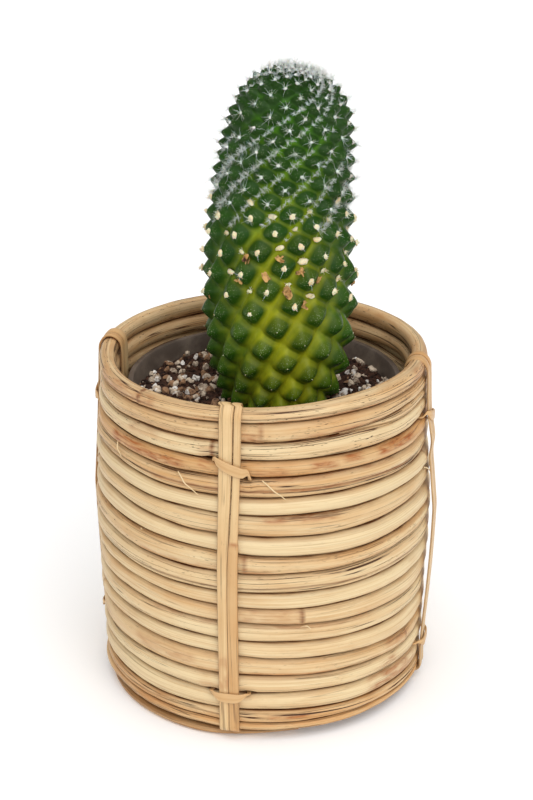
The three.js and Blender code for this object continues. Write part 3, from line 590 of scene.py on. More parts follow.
half = TIE_THICKNESS / 2
reach = pair_width / 2 + 0.5
under = STRIP_INSIDE - STRIP_THICKNESS - 0.35 - half
for number, station in enumerate(STATIONS):
    for tie, (left_row, right_row) in TIE_ROWS.items():
        left = crease_height(left_row, station - TIE_REACH)
        right = crease_height(right_row, station + TIE_REACH)
        outer = float(wall_radius((left + right) / 2))
        over = outer + STRIP_LIFT + STRIP_THICKNESS / 2 + 0.25 + half
        dive, dive_in = (r * math.tan(math.radians(TIE_REACH)) for r in (outer, under + 2.4))
        shrink, shift = (0.93, 1.4) if number == FRONT and tie == "upper" else (1.0, 0.0)
        (start, climb, dip), face = TIE_FACES[tie]
        # Each stop: place along the wall, radius, height, half the width, half the thickness along and
        # outwards.
        stops = [(shift - shrink * dive - 0.2, outer - 1.5, left, 0.35, -0.7, 0)]
        for share, tall, off in face:
            x = dive * (2 * share - 1)
            sink = 1.7 * smooth(abs(x), reach - 0.6, dive)
            turn_in = smooth(abs(x), reach - 0.4, dive) * math.copysign(1, x)
            h = left + start + (right - left + climb) * share - dip * math.sin(math.pi * share) + off
            thick = half * turn_in, half * (1 - 0.5 * abs(turn_in))
            stops.append((shrink * x + shift, over - sink, h, tall, *thick))
        stops += [(shrink * dive + shift + 0.2, outer - 1.5, right, 0.35, 0.7, 0),
                  (dive_in, under + 2.4, right, 0.35, 0.7, 0)]
        for side, share, tall in ((1, 0.88, 1.6), (0, 0.5, 2.0), (-1, 0.12, 1.6)):
            h = left + (right - left) * share - TIE_SAG[tie] * (1 - abs(share - 0.5) * 1.2) * 0.8
            stops.append((side * reach, under, h, tall, 0.1 * side, -half))
        stops.append((-dive_in, under + 2.4, left, 0.35, -0.7, 0))
        run, length = through(stops, TIE_STEPS, True)
        x, z = round_section(TIE_SIDES, 3.2)
        along, radius, h, tall, thick_along, thick_out = (run[:, k : k + 1] for k in range(6))
        rings = around(station, radius + z * thick_out, h + x * tall)
        rings = rings + around(station + 90, along + z * thick_along, 0)
        # Painted shade along the tie's edges.
        band = swept(f"tie_{number + 1}_{tie}_wound", rings, True,
                     np.arange(TIE_STEPS + 1) * length / TIE_STEPS + number * 50,
                     0.6 * np.arange(1, TIE_SIDES + 2), tone=0.5, stain=0.1, pores=0.05, split=0,
                     crease=0.4 * smooth(np.abs(x), 0.92, 1.0))
        seated(band, peel, "peel", f"tie_{number + 1}_{tie}")

# ---- Grow pot ----------------------------------------------------------------------------------------------
# A nursery pot of thin grey-brown polypropylene, injection moulded, with a turned-out rim and six drain holes
# in its floor. It stands loose over the strips that cross the floor coil.

POT_CENTRE = (0.5, 1.7)
POT_RIM = 56.0
POT_RIM_HEIGHT = 4.0
POT_WALL = 1.2
POT_TOP = 131.0
POT_FOOT = 39.0
POT_FLOOR = 4.6
DRAIN_HOLES = 6
DRAIN_RADIUS = 4.0
DRAIN_CIRCLE = 25.0


def pot_radius(z):
    return POT_FOOT + (POT_RIM - 1.5 - POT_FOOT) * (z - POT_FLOOR) / (POT_TOP - POT_FLOOR)


def pot_inside(z):
    return pot_radius(z) - POT_WALL


def turned(name, profile, sides, centre):
    """A closed body turned round a vertical axis, from an open profile that starts and ends on that axis."""
    profile = np.array(profile, float)
    inner = profile[1:-1]
    turn = np.arange(sides) * 360 / sides
    points = around(turn[:, None], inner[None, :, 0], inner[None, :, 1]).reshape(-1, 3)
    points = np.vstack([points, [[0, 0, profile[0, 1]], [0, 0, profile[-1, 1]]]]) + [*centre, 0]
    n, low, high = len(inner), len(points) - 2, len(points) - 1
    faces = []
    for i in range(sides):
        a, b = i * n, ((i + 1) % sides) * n
        faces += [[a + k, b + k, b + k + 1, a + k + 1] for k in range(n - 1)]
        faces += [[low, b, a], [high, a + n - 1, b + n - 1]]
    return piece_from(name, points, faces_list(faces))


lip = POT_TOP - POT_RIM_HEIGHT
inside = POT_FLOOR + POT_WALL * 1.5
POT_SIDES = 144
pot_profile = [
    [0, POT_FLOOR], [20, POT_FLOOR], [POT_FOOT - 1, POT_FLOOR], [POT_FOOT, POT_FLOOR + 0.8],
    [pot_radius(60), 60], [pot_radius(lip - 1), lip - 1], [pot_radius(lip) + 0.1, lip - 0.2],
    [POT_RIM - 0.5, lip], [POT_RIM, lip + 0.6], [POT_RIM, POT_TOP - 0.8], [POT_RIM - 0.3, POT_TOP - 0.2],
    [POT_RIM - 0.9, POT_TOP], [pot_inside(POT_TOP) + 0.4, POT_TOP], [pot_inside(POT_TOP), POT_TOP - 0.5],
    [pot_inside(lip), lip], [pot_inside(lip - 0.8) - 0.25, lip - 0.8], [pot_inside(100) - 0.2, 100],
    [pot_inside(60), 60], [pot_inside(inside) - 1, inside], [20, inside], [0, inside],
]
pot = turned("nursery_pot", pot_profile, POT_SIDES, POT_CENTRE)
drill = []
for hole in range(DRAIN_HOLES):
    spot = around(360 * hole / DRAIN_HOLES, DRAIN_CIRCLE, POT_FLOOR)
    place = (spot[0] + POT_CENTRE[0]) * 0.001, (spot[1] + POT_CENTRE[1]) * 0.001, POT_FLOOR * 0.001
    bpy.ops.mesh.primitive_cylinder_add(vertices=32, radius=DRAIN_RADIUS * 0.001, depth=0.006, location=place)
    drill.append(bpy.context.object)
for bit in drill:
    cut = pot.modifiers.new("drain", "BOOLEAN")
    cut.object, cut.solver = bit, "EXACT"
drilled = bpy.data.meshes.new_from_object(pot.evaluated_get(bpy.context.evaluated_depsgraph_get()))
pot.modifiers.clear()
pot.data = drilled
for bit in drill:
    bpy.data.objects.remove(bit)
pot.data.shade_smooth()
pot.data.set_sharp_from_angle(angle=math.radians(35))

# Moulded polypropylene: even and matte, with a faint orange peel of 0.6 mm, dust, and splashes of dried
# water.
plastic, tree = new_material("moulded polypropylene")
where = add(tree, "TexCoord", out="Object")
dust = add(tree, "TexNoise", {"Vector": where, "Scale": 1 / 0.009, "Detail": 6.0, "Roughness": 0.65})
dust = add(tree, "MapRange", (dust, 0.42, 0.72))
colour = add(tree, "Mix", {0: dust, 6: linear("#564A41"), 7: linear("#786A5E")}, data_type="RGBA", out=2)
specks = add(tree, "TexNoise", {"Vector": where, "Scale": 1 / 0.0011, "Detail": 2.0})
specks = add(tree, "MapRange", (specks, 0.68, 0.74, 0.0, 0.5))
colour = add(tree, "Mix", {0: specks, 6: colour, 7: linear("#3A2C24")}, data_type="RGBA", out=2)
peel_bump = add(tree, "TexNoise", {"Vector": where, "Scale": 1 / 0.0006, "Detail": 1.0})
bump = add(tree, "Bump", {"Height": peel_bump, "Distance": 0.00005, "Strength": 0.5})
rough = add(tree, "MapRange", {0: dust, 3: 0.42, 4: 0.62})
shader = add(tree, "BsdfPrincipled", {"Base Color": colour, "Roughness": rough, "Normal": bump, "IOR": 1.49})
add(tree, "OutputMaterial", {"Surface": shader})
seated(pot, plastic, "grow_pot", "grow_pot")

# ---- Potting mix -------------------------------------------------------------------------------------------
# A gritty cactus mix: dark composted bark, with white perlite, cream to pinkish pumice and tan grit of about
# 1 to 4 mm lying on it.

SOIL_TOP = 123.5
SOIL_DISH = 2.2
STEM_X = 6.5
SOIL_RINGS, SOIL_SIDES = 44, 120

soil_floor = POT_FLOOR + POT_WALL * 1.5 + 0.3
soil_edge = pot_inside(SOIL_TOP) - 0.45
soil_r = np.linspace(0, soil_edge, SOIL_RINGS)[1:]
turn = np.arange(SOIL_SIDES) * 360 / SOIL_SIDES
spots = around(turn[:, None], soil_r[None, :], 0)
level = np.interp(soil_r, [0, 27, 42, soil_edge],
                  [SOIL_TOP - SOIL_DISH, SOIL_TOP - SOIL_DISH, SOIL_TOP + 0.6, SOIL_TOP])
random = np.random.default_rng(21)
lumps = sum(size * np.sin(spots[..., 0] * math.cos(way) / wide + spots[..., 1] * math.sin(way) / wide + phase)
            for way, wide, phase, size in zip(random.uniform(0, 6.3, 14), random.uniform(0.8, 3.4, 14),
                                              random.uniform(0, 6.3, 14), random.uniform(0.08, 0.22, 14)))
surface = level[None, :] + lumps * smooth(soil_edge - soil_r, 0, 2)
top = np.concatenate([spots[..., :2], surface[..., None]], axis=-1)
below = around(turn, pot_inside(soil_floor) - 1.4, soil_floor)
points = np.vstack([top.reshape(-1, 3), below, [[0, 0, level[0]], [0, 0, soil_floor]]]) + [*POT_CENTRE, 0]
n, ring_below = SOIL_RINGS - 1, SOIL_SIDES * (SOIL_RINGS - 1)
faces = []
for i in range(SOIL_SIDES):
    a, b = i * n, ((i + 1) % SOIL_SIDES) * n
    faces += [[a + k, a + k + 1, b + k + 1, b + k] for k in range(n - 1)]
    c, d = ring_below + i, ring_below + (i + 1) % SOIL_SIDES
    faces += [[a + n - 1, c, d, b + n - 1], [len(points) - 2, a, b], [len(points) - 1, d, c]]
stem_gap = np.hypot(points[:, 0] - STEM_X, points[:, 1])
bare = smooth(stem_gap, 16, 20) * (points[:, 2] > SOIL_TOP - 6)
mix = piece_from("potting_soil", points, faces_list(faces), open=bare)

# Composted bark: almost black where damp, brown where dry, with fibres and crumbs down to 0.5 mm.
bark, tree = new_material("composted bark")
where = add(tree, "TexCoord", out="Object")
damp = add(tree, "TexNoise", {"Vector": where, "Scale": 1 / 0.0022, "Detail": 8.0, "Roughness": 0.7})
dry = add(tree, "MapRange", (damp, 0.38, 0.68))
colour = add(tree, "Mix", {0: dry, 6: linear("#1A100B"), 7: linear("#5A3A2A")}, data_type="RGBA", out=2)
bump = add(tree, "Bump", {"Height": damp, "Distance": 0.0008, "Strength": 1.0})
shader = add(tree, "BsdfPrincipled", {"Base Color": colour, "Roughness": 0.9, "Normal": bump,
                                      "Specular IOR Level": 0.25})
add(tree, "OutputMaterial", {"Surface": shader})


def new_tree(name, **inputs):
    """An empty geometry tree with a socket for each named input, which gives its geometry on."""
    group = bpy.data.node_groups.new(name, "GeometryNodeTree")
    group.interface.new_socket("Geometry", in_out="INPUT", socket_type="NodeSocketGeometry")
    for label, kind in inputs.items():
        group.interface.new_socket(label, in_out="INPUT", socket_type=f"NodeSocket{kind}")
    group.interface.new_socket("Geometry", in_out="OUTPUT", socket_type="NodeSocketGeometry")
    return group, group.nodes.new("NodeGroupInput").outputs


def grown(name, group, source, **values):
    """Runs a tree on a source object, and keeps the result as a plain mesh in place of the source."""
    modifier = source.modifiers.new(name, "NODES")
    modifier.node_group = group
    for item in group.interface.items_tree:
        if item.in_out == "INPUT" and item.name in values:
            modifier[item.identifier] = values[item.name]
    source.update_tag()
    mesh = bpy.data.meshes.new_from_object(source.evaluated_get(bpy.context.evaluated_depsgraph_get()))
    source.modifiers.clear()
    piece = bpy.data.objects.new(name, mesh)
    bpy.context.scene.collection.objects.link(piece)
    return piece


# Loose grains on the mix: scattered over it, each turned, stretched and knocked out of shape in its own way.
grains, given = new_tree("scattered_grains", Density="Float", Smallest="Float", Largest="Float", Sink="Float",
                         Seed="Int", Rounding="Int", Finish="Material")
open_soil = add(grains, "GeometryNodeInputNamedAttribute", {"Name": "open"}, data_type="FLOAT")
thick = add(grains, "Math", (open_soil, given["Density"]), operation="MULTIPLY")
spots = add(grains, "GeometryNodeDistributePointsOnFaces", {"Mesh": given["Geometry"], "Density": thick,
                                                            "Seed": given["Seed"]})
ball = add(grains, "GeometryNodeMeshIcoSphere", {"Radius": 0.5, "Subdivisions": given["Rounding"]})
spin = add(grains, "FunctionNodeRandomValue", {"Min": (0, 0, 0), "Max": (6.28, 6.28, 6.28),
                                               "Seed": given["Seed"]}, data_type="FLOAT_VECTOR")
size = add(grains, "FunctionNodeRandomValue", {2: given["Smallest"], 3: given["Largest"],
                                               "Seed": given["Seed"]}, data_type="FLOAT", out=1)
shape = add(grains, "FunctionNodeRandomValue", {"Min": (0.7, 0.55, 0.5), "Max": (1.15, 1.0, 0.85),
                                                "Seed": given["Seed"]}, data_type="FLOAT_VECTOR")
scale = add(grains, "VectorMath", {0: shape, 3: size}, operation="SCALE")
placed = add(grains, "GeometryNodeInstanceOnPoints", {"Points": spots, "Instance": ball, "Rotation": spin,
                                                      "Scale": scale})
solid = add(grains, "GeometryNodeRealizeInstances", {"Geometry": placed})
spot = add(grains, "GeometryNodeInputPosition")
knock = add(grains, "TexNoise", {"Vector": spot, "Scale": 1 / 0.0022, "Detail": 0.0}, out="Color")
knock = add(grains, "VectorMath", (knock, (0.5, 0.5, 0.5)), operation="SUBTRACT")
knock = add(grains, "VectorMath", {0: knock, 3: 0.0022}, operation="SCALE")
lower = add(grains, "CombineXYZ", {"Z": given["Sink"]})
knock = add(grains, "VectorMath", (knock, lower), operation="ADD")
moved = add(grains, "GeometryNodeSetPosition", {"Geometry": solid, "Offset": knock})
done = add(grains, "GeometryNodeSetMaterial", {"Geometry": moved, "Material": given["Finish"]})
add(grains, "NodeGroupOutput", {0: done})


def mineral(name, pale, dark, grain_mm):
    """A porous mineral grain: matte, pitted, dirty in its hollows."""
    material, tree = new_material(name)
    where = add(tree, "TexCoord", out="Object")
    fine = add(tree, "TexNoise", {"Vector": where, "Scale": 1000 / grain_mm, "Detail": 5.0})
    broad = add(tree, "TexNoise", {"Vector": where, "Scale": 1 / 0.004, "Detail": 1.0})
    dirt = add(tree, "Math", (fine, broad), operation="MULTIPLY")
    dirt = add(tree, "MapRange", (dirt, 0.20, 0.40))
    colour = add(tree, "Mix", {0: dirt, 6: linear(pale), 7: linear(dark)}, data_type="RGBA", out=2)
    bump = add(tree, "Bump", {"Height": fine, "Distance": 0.0003, "Strength": 0.9})
    shader = add(tree, "BsdfPrincipled", {"Base Color": colour, "Roughness": 0.85, "Normal": bump})
    add(tree, "OutputMaterial", {"Surface": shader})
    return material


# Name, finish, grains per square metre, smallest and largest in millimetres, sink, seed, rounding.
GRAIN_KINDS = [
    ("bark_crumbs", bark, 190000, 1.0, 3.8, -0.2, 3, 1),
    ("perlite", mineral("expanded perlite", "#F2ECE4", "#8E8074", 0.9), 26000, 0.9, 3.4, 0.3, 5, 2),
    ("pumice", mineral("crushed pumice", "#D6C3AC", "#6E5848", 1.1), 42000, 0.9, 4.2, 0.5, 8, 2),
    ("tan_grit", mineral("baked clay grit", "#9C7656", "#4E3424", 1.0), 34000, 0.9, 3.6, 0.5, 12, 2),
]
for name, finish, density, smallest, largest, sink, seed, rounding in GRAIN_KINDS:
    loose = grown(name, grains, mix, Density=float(density), Smallest=smallest * 0.001,
                  Largest=largest * 0.001, Sink=sink * 0.001, Seed=seed, Rounding=rounding, Finish=finish)
    seated(loose, finish, "potting_mix")
seated(mix, bark, "potting_mix", "potting_mix")

# ---- Cactus body -------------------------------------------------------------------------------------------
# The living stem: a column that leans a little at the top, covered in tubercles that stand in two sets of
# spiral rows, 8 and 13. Low down they are plump and rhombic, at the crown small and pointed. They are one
# skin.

STEM_FOOT = 123.4
STEM_OUTLINE = [
    (17.4, 0), (20.8, 8.1), (23.9, 19.3), (25.4, 30.4), (26, 41.6), (25.8, 52.7), (25.7, 63.9), (25.2, 75),
    (24.5, 85.1), (23.9, 94.3), (23.3, 103.4), (22.6, 111.5), (21.2, 119.1), (18.6, 125.2), (15.2, 129.1),
    (10.8, 131.8), (5.4, 133.7), (0, 134.3),
]
STEM_TOP = 134.3
LEAN_START, LEAN_RIGHT_DEG, LEAN_BACK_DEG = 60.0, 13.0, 4.0
GOLDEN_ANGLE = 137.50776
FIRST_ANGLE = -84.0
# Height, and the climb from one tubercle to the next there, as a share of the girth.
SPACING = [(0, 0.0043), (61, 0.0042), (75, 0.0034), (92, 0.0028), (106, 0.0024)]
TUBERCLE_LOW, TUBERCLE_HIGH, TUBERCLE_CROWN = 5.8, 4.4, 2.8
DROOP_LOW, DROOP_HIGH = 0.7, 0.2
ROW_A, ROW_B = 8, 13
CELL = 13  # steps across one tubercle
UNDERGROUND = -20  # the skin goes on to this step below the mix

outline, stem_length = through(STEM_OUTLINE, 1200, False)
outline_s = np.linspace(0, stem_length, 1200)
slope = np.gradient(outline, outline_s, axis=0)
slope /= np.linalg.norm(slope, axis=1)[:, None]


def leaned(x, y, height):
    """A point of the upright stem, carried over with the lean of its upper part."""
    over = np.maximum(0, height - LEAN_START)
    right = math.radians(LEAN_RIGHT_DEG) * over / (STEM_TOP - LEAN_START)
    back = math.radians(LEAN_BACK_DEG) * over / (STEM_TOP - LEAN_START)
    return np.stack([
        STEM_X + x * np.cos(right) + over * np.sin(right) / 2,
        y * np.cos(back) + over * np.sin(back) / 2,
        STEM_FOOT + height - x * np.sin(right) - y * np.sin(back),
    ], axis=-1)


def on_stem(distance, degrees, out, down=0.0):
    """A point from its distance up the outline, its angle, its height out of the valleys and a shift down."""
    beyond = np.minimum(distance, 0)
    r, h, dr, dh = (np.interp(distance, outline_s, table[:, k]) for table in (outline, slope) for k in (0, 1))
    r, h = r + beyond * dr + out * dh - down * dr, h + beyond * dh - out * dr - down * dh
    return leaned(r * np.sin(np.radians(degrees)), -r * np.cos(np.radians(degrees)), h)


distances, heights = [], []
distance = 3.0
while True:
    radius, height = (float(np.interp(distance, outline_s, outline[:, k])) for k in (0, 1))
    if radius < 4.5 and height > LEAN_START:
        break
    distances.append(distance)
    heights.append(height)
    distance += float(np.interp(height, *zip(*SPACING))) * 2 * math.pi * (radius + 2)
distances, heights = np.array(distances), np.array(heights)
tubercle_count = len(distances)
turn_a = -(ROW_A * GOLDEN_ANGLE - 3 * 360)
turn_b = -(ROW_B * GOLDEN_ANGLE - 5 * 360)


def distance_at(step):
    """The distance up the outline for any place between two steps of the spiral, and beyond both ends."""
    known = np.interp(step, np.arange(tubercle_count), distances)
    before = np.minimum(step, 0) * (distances[1] - distances[0])
    return known + before + np.maximum(step - tubercle_count + 1, 0) * (distances[-1] - distances[-2])


def tubercle_height(h):
    low = TUBERCLE_LOW + (TUBERCLE_HIGH - TUBERCLE_LOW) * smooth(h, 45, 95)
    return low + (TUBERCLE_CROWN - TUBERCLE_HIGH) * smooth(h, 95, 130)


def tubercle_droop(h):
    return DROOP_LOW + (DROOP_HIGH - DROOP_LOW) * smooth(h, 30, 100)


columns = ROW_B * CELL
b_low = math.floor((UNDERGROUND - 8 * ROW_B) / ROW_B) - 1
b_high = math.ceil((tubercle_count + 8) / ROW_B) + 1
levels = (b_high - b_low) * CELL + 1
a = np.arange(columns)[:, None] / CELL + np.zeros(levels)[None, :]
b = b_low + np.arange(levels)[None, :] / CELL + np.zeros(columns)[:, None]
raw_step = ROW_A * a + ROW_B * b
step = np.clip(raw_step, UNDERGROUND, tubercle_count + 6)
da, db = a - np.round(a), b - np.round(b)
own = np.clip(np.round(ROW_A * np.round(a) + ROW_B * np.round(b)), 0, tubercle_count - 1).astype(int)
own_height = heights[own]
rhombic = 1 - smooth(own_height, 55, 100)
power = 2.2 + 1.5 * rhombic
gauge = (((2 * np.abs(da)) ** power + (1.72 * np.abs(db)) ** power) ** (1 / power)).clip(0, 1)
rise = (1 - gauge ** (1.3 + 0.1 * rhombic)) ** (1.0 + 0.1 * rhombic)
random = np.random.default_rng(4)
vigour = random.uniform(0.9, 1.08, tubercle_count)[own]
degrees = FIRST_ANGLE + a * turn_a + b * turn_b
fade = 1 - smooth(raw_step, tubercle_count - 2, tubercle_count + 4)
distance = np.minimum(distance_at(step), stem_length * 0.992)
out = tubercle_height(own_height) * rise * vigour * fade
points = on_stem(distance, degrees, out, tubercle_droop(own_height) * rise**1.5)

i, j = np.meshgrid(np.arange(columns), np.arange(levels - 1), indexing="ij")
wrap = i == columns - 1
number = lambda i, j: i * levels + j
shift = ROW_A * CELL
right_i, right_j = np.where(wrap, 0, i + 1), np.where(wrap, j + shift, j)
quads = np.stack([number(i, j), number(right_i, right_j), number(right_i, right_j + 1), number(i, j + 1)],
                 axis=-1)
valid = right_j + 1 < levels
steps = raw_step.ravel()
quads = quads[valid]
corner_steps = steps[quads]
quads = quads[(corner_steps.max(axis=1) > UNDERGROUND) & (corner_steps.min(axis=1) < tubercle_count + 6)]
used, quads = np.unique(quads, return_inverse=True)
quads = quads.reshape(-1, 4)
flat_points = points.reshape(-1, 3)[used]
loose_edges = {}
for quad in quads.tolist():
    for p, q in zip(quad, quad[1:] + quad[:1]):
        if (q, p) in loose_edges:
            del loose_edges[(q, p)]
        else:
            loose_edges[(p, q)] = True
foot_point, crown_point = len(flat_points), len(flat_points) + 1
flat_points = np.vstack([flat_points, [[STEM_X, 0, STEM_FOOT - 12]], leaned(0.0, 0.0, STEM_TOP)[None, :]])
fans = [[q, p, foot_point if flat_points[p, 2] < STEM_FOOT + 40 else crown_point] for p, q in loose_edges]


def pick(values, foot=0, crown=0):
    """A measure of the grid's points, for those in use and for the foot and the crown."""
    return np.append(np.broadcast_to(values, a.shape).ravel()[used], [foot, crown])


# Painted light: how squarely the stem faces the front light, falling off round the sides and towards the
# crown. The valleys are painted bright only where it is high.
facing_front = -((apart(degrees, 6) / 46) ** 2) - (np.maximum(0, own_height - 108) / 16) ** 2
body = piece_from(
    "cactus_body", flat_points, faces_list([*quads.tolist(), *fans]), rise=pick(rise),
    between=pick(2 * np.abs(da)), front=pick(np.exp(facing_front)),
    upper=pick(np.clip(1.6 * (da + db), -1, 1)),
    age=pick(1 - np.clip(own_height / STEM_TOP, 0, 1), foot=1),
    own=pick(random.uniform(0, 1, tubercle_count)[own]),
)
bpy.context.view_layer.objects.active = body
body.select_set(True)
bpy.ops.object.mode_set(mode="EDIT")
bpy.ops.mesh.select_all(action="SELECT")
bpy.ops.mesh.normals_make_consistent(inside=False)
bpy.ops.object.mode_set(mode="OBJECT")
body.select_set(False)

# Cactus skin: waxy and thick, dark green at the tubercles' tips. The valleys have a bright yellow-green lit
# copy
# and a dark shaded copy of their colour: the lit one is painted where the stem faces the front light, the
# shaded one round the sides and towards the crown, as painted light and shade. Low down the old skin is
# yellower, and the tubercles' upper faces there are painted lighter, a painted highlight from above. Fine
# white scales 0.3 mm wide lie round each tip.
skin, tree = new_material("waxy cactus skin")
measure = {m: add(tree, "Attribute", attribute_name=m, out="Fac")
           for m in ("rise", "between", "front", "upper", "age", "own")}
where = add(tree, "TexCoord", out="Object")
cloud = add(tree, "TexNoise", {"Vector": where, "Scale": 1 / 0.006, "Detail": 4.0})
yellowed = add(tree, "MapRange", (measure["age"], 0.15, 0.55))
valley_with_painted_light = add(tree, "Mix", {0: yellowed, 6: linear("#4E8A10"), 7: linear("#A0A41C")}, data_type="RGBA", out=2)
shaded = add(tree, "Mix", {0: measure["age"], 6: linear("#1F4212"), 7: linear("#56741C")}, data_type="RGBA",
             out=2)
# Painted light and shade: the valleys take their lit copy on the front of the stem and their shaded copy
# round the sides.
valley_light_share = add(tree, "Math", (cloud, 1.5, measure["front"]), operation="MULTIPLY_ADD")
valley_light_share = add(tree, "Math", (valley_light_share, 0.85), operation="SUBTRACT", use_clamp=True)
valley_with_painted_light = add(tree, "Mix", {0: valley_light_share, 6: shaded, 7: valley_with_painted_light}, data_type="RGBA", out=2)
tip = add(tree, "Mix", {0: measure["age"], 6: linear("#1C3C08"), 7: linear("#214C06")}, data_type="RGBA",
          out=2)
old = add(tree, "MapRange", (measure["age"], 0.35, 0.85))
# Painted highlight: low on the stem the upper face of each tubercle takes more of the valley colour, as if
# lit from above.
lit = add(tree, "MapRange", (measure["upper"], -0.3, 0.9, 0.0, 0.5))
lit = add(tree, "Math", (lit, old), operation="MULTIPLY")
cap = add(tree, "Math", (old, -0.24, measure["rise"]), operation="MULTIPLY_ADD")
green = add(tree, "MapRange", (cap, 0.0, 0.34))
aside = add(tree, "MapRange", (measure["between"], 0.35, 0.8, 0.7, 0.0))
green = add(tree, "Math", (green, aside), operation="MAXIMUM")
green = add(tree, "Math", (green, lit), operation="SUBTRACT")
green = add(tree, "Math", (cloud, 0.5, green), operation="MULTIPLY_ADD")
green = add(tree, "Math", (green, 0.25), operation="SUBTRACT", use_clamp=True)
colour = add(tree, "Mix", {0: green, 6: valley_with_painted_light, 7: tip}, data_type="RGBA", out=2)
variety = add(tree, "MapRange", {0: measure["own"], 3: 0.86, 4: 1.14})
colour = add(tree, "HueSaturation", {"Value": variety, "Color": colour})
scales = add(tree, "TexVoronoi", {"Vector": where, "Scale": 1 / 0.0007, "Randomness": 1.0})
scales = add(tree, "MapRange", (scales, 0.14, 0.30, 1.0, 0.0))
near_tip = add(tree, "MapRange", (measure["rise"], 0.4, 0.85, 0.0, 0.85))
scales = add(tree, "Math", (scales, near_tip), operation="MULTIPLY")
colour = add(tree, "Mix", {0: scales, 6: colour, 7: linear("#98A47A")}, data_type="RGBA", out=2)
bump = add(tree, "Bump", {"Height": cloud, "Distance": 0.0006, "Strength": 0.35})
shader = add(tree, "BsdfPrincipled", {"Base Color": colour, "Roughness": 0.42, "Normal": bump,
                                      "Subsurface Weight": 0.08, "Subsurface Scale": 0.002,
                                      "Subsurface Radius": (0.6, 1.0, 0.25), "Specular IOR Level": 0.18})
add(tree, "OutputMaterial", {"Surface": shader})
seated(body, skin, "cactus", "cactus")

# ---- Spines and wool ---------------------------------------------------------------------------------------
# Every tubercle ends in an areole. At the crown each carries a star of short white spines, lower down a tuft
# of cream felt, and at the foot only a worn dot. White wool grows in the axils between the upper tubercles
# and on the crown.

hairs, given = new_tree("hairs", Hairs="Int", Length="Float", Radius="Float", Spread="Float", Tangle="Float",
                        Seed="Int", Joints="Int", Finish="Material")
roots = add(hairs, "GeometryNodeMeshToPoints", {"Mesh": given["Geometry"]})
roots = add(hairs, "GeometryNodeDuplicateElements", {"Geometry": roots, "Amount": given["Hairs"]},
            domain="POINT")
facing = add(hairs, "GeometryNodeInputNamedAttribute", {"Name": "facing"}, data_type="FLOAT_VECTOR")
strength = add(hairs, "GeometryNodeInputNamedAttribute", {"Name": "vigour"}, data_type="FLOAT")
stray = add(hairs, "FunctionNodeRandomValue", {"Min": (-1, -1, -1), "Max": (1, 1, 1), "Seed": given["Seed"]},
            data_type="FLOAT_VECTOR")
stray = add(hairs, "VectorMath", {0: stray, 3: given["Spread"]}, operation="SCALE")
way = add(hairs, "VectorMath", (facing, stray), operation="ADD")
turned_to = add(hairs, "FunctionNodeAlignRotationToVector", {"Vector": way}, axis="Z")
reach = add(hairs, "FunctionNodeRandomValue", {2: 0.55, 3: 1.0, "Seed": given["Seed"]}, data_type="FLOAT",
            out=1)
reach = add(hairs, "Math", (reach, given["Length"]), operation="MULTIPLY")
reach = add(hairs, "Math", (reach, strength), operation="MULTIPLY")
scale = add(hairs, "CombineXYZ", {"X": 1.0, "Y": 1.0, "Z": reach})
line = add(hairs, "GeometryNodeCurvePrimitiveLine", {"Start": (0, 0, 0), "End": (0, 0, 1)})
line = add(hairs, "GeometryNodeResampleCurve", {"Curve": line, "Count": given["Joints"]})
placed = add(hairs, "GeometryNodeInstanceOnPoints", {"Points": roots, "Instance": line, "Rotation": turned_to,
                                                     "Scale": scale})
strands = add(hairs, "GeometryNodeRealizeInstances", {"Geometry": placed})
share = add(hairs, "GeometryNodeSplineParameter")
spot = add(hairs, "GeometryNodeInputPosition")
curl = add(hairs, "TexNoise", {"Vector": spot, "Scale": 1 / 0.0014, "Detail": 1.0}, out="Color")
curl = add(hairs, "VectorMath", (curl, (0.5, 0.5, 0.5)), operation="SUBTRACT")
bend = add(hairs, "Math", (share, given["Tangle"]), operation="MULTIPLY")
curl = add(hairs, "VectorMath", {0: curl, 3: bend}, operation="SCALE")
strands = add(hairs, "GeometryNodeSetPosition", {"Geometry": strands, "Offset": curl})
taper = add(hairs, "MapRange", {0: share, 3: 1.0, 4: 0.25})
profile = add(hairs, "GeometryNodeCurvePrimitiveCircle", {"Resolution": 3, "Radius": given["Radius"]})
strands = add(hairs, "GeometryNodeCurveToMesh", {"Curve": strands, "Profile Curve": profile, "Scale": taper,
                                                 "Fill Caps": True})
done = add(hairs, "GeometryNodeSetMaterial", {"Geometry": strands, "Material": given["Finish"]})
add(hairs, "NodeGroupOutput", {0: done})


def fuzz(name, colour, shade):
    """Plant hair: dry and matte, a little see-through, so that it glows at the edges. Spines are the same."""
    material, tree = new_material(name)
    where = add(tree, "TexCoord", out="Object")
    patch = add(tree, "TexNoise", {"Vector": where, "Scale": 1 / 0.003, "Detail": 3.0})
    patch = add(tree, "MapRange", (patch, 0.35, 0.7))
    tint = add(tree, "Mix", {0: patch, 6: linear(colour), 7: linear(shade)}, data_type="RGBA", out=2)
    shader = add(tree, "BsdfPrincipled", {"Base Color": tint, "Roughness": 0.7, "Sheen Weight": 0.3,
                                          "Sheen Roughness": 0.4, "Subsurface Weight": 0.3,
                                          "Subsurface Scale": 0.0008})
    add(tree, "OutputMaterial", {"Surface": shader})
    return material


white_wool = fuzz("white axil wool", "#F6F6F2", "#C9CCC4")
cream_felt = fuzz("cream areole felt", "#F7ECCB", "#DCC58E")
white_spine = fuzz("white spines", "#FBFBF6", "#D9DCD2")


def sprouting(places, lift, down):
    """Roots at places given as [spiral step, degrees], and the way out of the skin there."""
    base = distance_at(places[:, 0])
    root = on_stem(base, places[:, 1], lift, down)
    return root, on_stem(base, places[:, 1], lift + 1.0, down) - root


